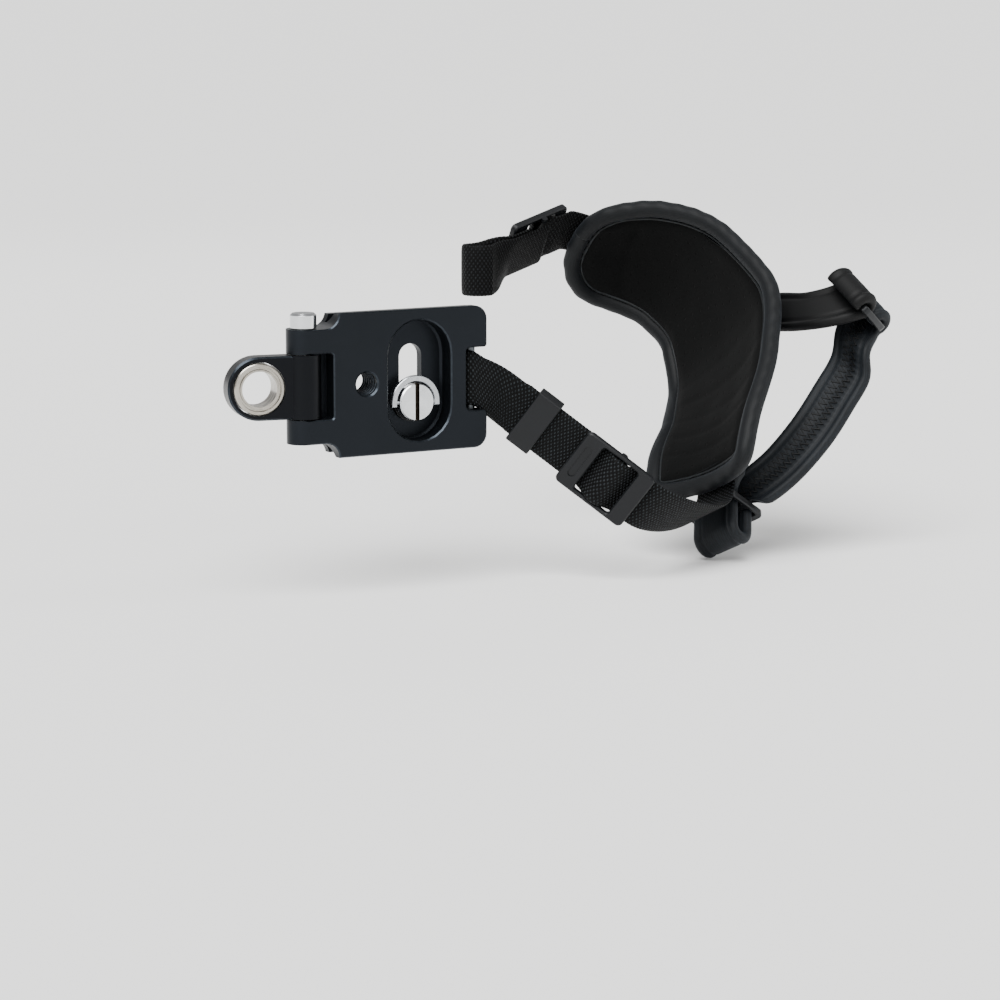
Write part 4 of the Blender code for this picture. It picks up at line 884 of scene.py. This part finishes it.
def bandSection(total, seamed):
    # the columns crowd at the edges, and the height rounds off at both ends
    def section(distance, turn):
        side = math.cos(turn)
        side = math.copysign(abs(side) ** bandWork["edgeCrowding"], side) * bandWork["width"] / 2
        upper = math.sin(turn) >= 0
        height = bandHeight(side, distance, upper, seamed)
        near = min(distance, total - distance) / bandWork["endRound"]
        height *= math.sqrt(1 - max(0.0, 1 - near) ** 2) if near < 1 else 1.0
        return side, height if upper else -height
    return section


print("padding the wrist bands")
w = bandWork
innerRun = innerBandRun()
outerRun = outerBandRun()
outerMarks = measureRun(outerRun)
bandKnit = jerseyKnit("NylonJerseyLongBand", ("07090B", "181D22"), sheen=0.12)
innerKnit = jerseyKnit("NylonJerseyShortBand", ("000000", "060708"), sheen=0.04)
outerBand = layStrap("longWristBand", outerRun, w, bandSection(outerMarks[-1], True), bandKnit,
                     ("wrist_outer_band",))
innerBand = layStrap("shortWristBand", innerRun, w, bandSection(measureRun(innerRun)[-1], False), innerKnit,
                     ("wrist_inner_band",))

darkThread = sewingThread("BondedPolyesterBlackThread", ("010101", "050607"))
paths = []
for lane in (-1, 1):
    path = []
    count = int((outerMarks[-1] - 2 * w["zigzagEnd"]) / (w["zigzagPitch"] / 2))
    for step in range(count):
        distance = w["zigzagEnd"] + step * w["zigzagPitch"] / 2
        centre, across, outwards = runPlace(outerRun, outerMarks, distance)
        side = lane * w["zigzagOffset"] + (w["zigzagReach"] if step % 2 else -w["zigzagReach"])
        height = bandHeight(side, distance, True, True) + w["threadLift"]
        path.append(centre + across * side + outwards * height)
    paths.append(path)
layThread("zigzagSeam", paths, w["threadRadius"], darkThread)


# Hand pad: perforated lining on foam inside, knit cover outside, a puffy binding and seams round the edge

padLook = {
    "inset": 5.1 * mm, "rows": 150, "columns": 48, "rowEase": 0.12,
    "liningTop": 2.52 * mm, "liningThick": 3.7 * mm, "coverTop": -1.55 * mm, "coverThick": 0.95 * mm,
    "edgeDrop": 1.1 * mm, "edgeWidth": 4.5 * mm, "crown": 0.45 * mm, "foldLean": 0.03,
    "rippleHeight": 0.25 * mm, "ripplesAlong": 14, "ripplesAcross": 5,
    "holeSpacing": 4.0 * mm, "holeRadius": 0.45 * mm, "holeSlant": 32,
    "edgeRows": 200, "endSteps": 20, "edgeReach": 3,
    "bindingPucker": 0.05, "puckerPitch": 5.5 * mm, "bindingRows": 620, "bindingColumns": 28,
    "puckerSide": 4, "uneven": 0.025, "unevenPitch": 9 * mm, "bindingFlatness": 0.98,
    "pipeInset": 5.75 * mm, "pipeLift": 1.75 * mm, "pipeRadius": 0.42 * mm, "pipePlaces": 420,
    "stitchInset": 5.0 * mm, "stitchLift": 1.62 * mm, "stitchPitch": 2.6 * mm, "stitchLength": 1.7 * mm,
    "stitchRadius": 0.26 * mm, "stitchPlaces": 600,
}
# folds across the lining: where on the pad, slant, depth in mm, width
padFolds = [(0.17, 0.10, 0.55, 0.020), (0.62, -0.05, 0.16, 0.014), (0.70, -0.10, 0.30, 0.013),
            (0.775, -0.12, 0.22, 0.010), (0.83, -0.10, 0.30, 0.009), (0.885, -0.06, 0.22, 0.008)]


def padRow(share, inset):
    # shares are closer together towards both ends
    start = math.cos(math.pi * padLook["rowEase"])
    turn = math.pi * (padLook["rowEase"] + (1 - 2 * padLook["rowEase"]) * share)
    first = inset / padLength
    return first + (1 - 2 * first) * (0.5 - 0.5 * math.cos(turn) / start)


def padSheet(name, top, thick, crown, folded, material, replaced):
    w = padLook

    def pointAt(first, second):
        u = padRow(first, w["inset"])
        half = padHalf(u, w["inset"])
        side = half * (2 * second - 1)
        rim = min((1 - abs(2 * second - 1)) * half, (u - w["inset"] / padLength) * padLength,
                  (1 - w["inset"] / padLength - u) * padLength)
        near = max(0.0, 1 - rim / w["edgeWidth"])
        lift = top + crown * (1 - near ** 2) - math.copysign(w["edgeDrop"], top) * near ** 2
        if folded:
            bend = (second - 0.5) ** 2
            for middle, slant, depth, width in padFolds:
                away = (u - middle - slant * bend - w["foldLean"] * (second - 0.5)) / width
                lift -= depth * mm * math.exp(-away * away) * (1 - near)
            ripple = noise.noise(Vector((u * w["ripplesAlong"], second * w["ripplesAcross"], 1.0)))
            lift += w["rippleHeight"] * ripple * (1 - near)
        return padPoint(u, side, lift)

    def runAt(first, second):
        u = padRow(first, w["inset"])
        return u * padLength, padHalf(u, w["inset"]) * (2 * second - 1)

    bm = layGrid(w["rows"], w["columns"], pointAt, runAt)
    bm.normal_update()
    if sum(face.normal.dot(padFrame(0.5)[3]) for face in bm.faces) < 0:
        bmesh.ops.reverse_faces(bm, faces=bm.faces)
    bmesh.ops.solidify(bm, geom=bm.faces[:], thickness=thick)
    bmesh.ops.recalc_face_normals(bm, faces=bm.faces)
    makePiece(name, bm, material, strapBody, replaced)


def padEdge(inset, lift, count):
    # evenly spaced places round the pad: centre, along the edge, outwards from the pad, towards the hand
    rows, half, reach = padLook["edgeRows"], padLook["endSteps"], padLook["edgeReach"]
    steps = [padRow(i / rows, inset) for i in range(rows + 1)]
    outline = [(u, padHalf(u, inset)) for u in steps]
    outline += [(steps[-1], padHalf(steps[-1], inset) * (1 - i / half)) for i in range(1, 2 * half)]
    outline += [(u, -padHalf(u, inset)) for u in reversed(steps)]
    outline += [(steps[0], padHalf(steps[0], inset) * (i / half - 1)) for i in range(1, 2 * half)]
    points = [padPoint(u, side, lift) for u, side in outline]
    marks = [0.0]
    for before, after in zip(points, points[1:] + points[:1]):
        marks.append(marks[-1] + (after - before).length)
    places = []
    for step in range(count):
        distance = marks[-1] * step / count
        index = bisect.bisect_right(marks, distance) - 1
        t = (distance - marks[index]) / (marks[index + 1] - marks[index])
        follow = (index + 1) % len(points)
        places.append((points[index].lerp(points[follow], t), padFrame(outline[index][0])[3]))
    sides = []
    for index, (centre, inwards) in enumerate(places):
        along = (places[(index + reach) % count][0] - places[index - reach][0]).normalized()
        side = along.cross(inwards).normalized()
        sides.append((centre, along, side, side.cross(along).normalized()))
    return sides, marks[-1]


print("sewing the hand pad")
w = padLook
liningTricot = perforatedTricot("PerforatedTricotLining", ("000000", "040505"), w["holeSpacing"],
                                w["holeRadius"], w["holeSlant"])
coverKnit = jerseyKnit("NylonJerseyPadCover", ("040506", "0D0F12"), sheen=0.15)
bindingKnit = jerseyKnit("NylonJerseyBinding", ("040506", "0E1114"), sheen=0.1)
padSheet("padLining", w["liningTop"], w["liningThick"], w["crown"], True, liningTricot,
         ("pad_lining", "pad_foam"))
padSheet("padCover", w["coverTop"], w["coverThick"], 0.0, False, coverKnit, ("pad_cover",))

edgePlaces, edgeLength = padEdge(padWork["bindingRadius"], 0.0, w["bindingRows"])


def bindingPoint(first, second):
    # a tube that puckers on its inner side, where the seam pulls it in
    w = padLook
    centre, along, side, inwards = edgePlaces[round(first * w["bindingRows"]) % w["bindingRows"]]
    turn = second * math.tau
    inner = max(0.0, -math.cos(turn)) ** w["puckerSide"]
    puckers = round(edgeLength / w["puckerPitch"])
    swell = 1 + w["bindingPucker"] * math.cos(math.tau * puckers * first) * inner
    swell += w["uneven"] * noise.noise(Vector((first * edgeLength / w["unevenPitch"], turn, 3.0)))
    radius = padWork["bindingRadius"] * swell
    return centre + radius * (side * math.cos(turn) + inwards * math.sin(turn) * w["bindingFlatness"])


def bindingRun(first, second):
    return first * edgeLength, second * math.tau * padWork["bindingRadius"]


bindingTube = closeEnds(layGrid(w["bindingRows"], w["bindingColumns"], bindingPoint, bindingRun))
binding = makePiece("padBinding", bindingTube, bindingKnit, strapBody, ("pad_binding",))

pipeKnit = sewingThread("JerseyPipingEdge", ("090B0C", "181C1F"))
pipePath = [place[0] for place in padEdge(w["pipeInset"], w["pipeLift"], w["pipePlaces"])[0]]
layThread("seamPiping", [pipePath], w["pipeRadius"], pipeKnit, closed=True, sides=2)
seamPlaces, seamLength = padEdge(w["stitchInset"], w["stitchLift"], w["stitchPlaces"])
seamCount = int(seamLength / w["stitchPitch"])
chosen = [seamPlaces[round(i * len(seamPlaces) / seamCount) % len(seamPlaces)] for i in range(seamCount)]
sewDashes("bindingStitches", [(centre, along, inwards) for centre, along, side, inwards in chosen],
          w["stitchLength"], w["stitchRadius"], darkThread)


# Studio: a pale floor, a wide soft sun from the upper left, a narrow box at each side and one behind

studio = {
    "camera": (-396.2 * mm, -801.4 * mm, 114.1 * mm),
    "right": (0.879, -0.477, 0.0), "up": (0.078, 0.144, 0.987), "back": (-0.471, -0.867, 0.163),
    "lens": 117.7, "sensor": 36, "nearest": 0.01, "furthest": 200,
    "floorDrop": 0.5 * mm, "floorSize": 60.0, "floorColour": "F2F2F1", "floorRough": 0.95,
    "surround": 0.55,
    # kind, place, target, size, power: a sun's size is in degrees, a box's in metres
    "lights": {
        "keyLight": ("SUN", (-1.0, -1.2, 2.2), (0.05, 0, 0), 50, 5.8),
        "leftBox": ("AREA", (-0.8, -0.5, 0.45), (0.05, 0, 0), (0.25, 0.8), 1.5),
        "rightBox": ("AREA", (0.75, -0.35, 0.35), (0.12, 0, 0), (0.25, 0.7), 2),
        "backBox": ("AREA", (0.35, 0.9, 0.6), (0.1, 0, 0), (0.9, 0.3), 1.5),
    },
}
print("setting up the studio")
floorMesh = bpy.data.meshes.new("floor")
bm = bmesh.new()
bmesh.ops.create_grid(bm, x_segments=2, y_segments=2, size=studio["floorSize"])
bmesh.ops.translate(bm, verts=bm.verts, vec=(0, 0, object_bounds()[0].z - studio["floorDrop"]))
bm.to_mesh(floorMesh)
bm.free()
floor = bpy.data.objects.new("floor", floorMesh)
bpy.context.scene.collection.objects.link(floor)
floorMesh.materials.append(startMaterial("MattPaperFloor", {
    "Base Color": linearColour(studio["floorColour"]), "Roughness": studio["floorRough"]})[0])

cameraData = bpy.data.cameras.new("camera")
cameraData.lens = studio["lens"]
cameraData.sensor_width = studio["sensor"]
cameraData.clip_start = studio["nearest"]
cameraData.clip_end = studio["furthest"]
camera = bpy.data.objects.new("camera", cameraData)
bpy.context.scene.collection.objects.link(camera)
place = Matrix([Vector(studio[axis]).normalized() for axis in ("right", "up", "back")]).transposed().to_4x4()
place.translation = Vector(studio["camera"])
camera.matrix_world = place
bpy.context.scene.camera = camera

world = bpy.data.worlds.new("studioWorld")
world.use_nodes = True
background = world.node_tree.nodes["Background"]
background.inputs["Color"].default_value = (1, 1, 1, 1)
background.inputs["Strength"].default_value = studio["surround"]
bpy.context.scene.world = world

for name, (kind, place, target, size, power) in studio["lights"].items():
    light = bpy.data.lights.new(name, kind)
    if kind == "AREA":
        light.shape = "RECTANGLE"
        light.size, light.size_y = size
    else:
        light.angle = math.radians(size)
    light.energy = power
    lamp = bpy.data.objects.new(name, light)
    bpy.context.scene.collection.objects.link(lamp)
    lamp.location = place
    lamp.rotation_euler = (Vector(target) - Vector(place)).to_track_quat("-Z", "Y").to_euler()
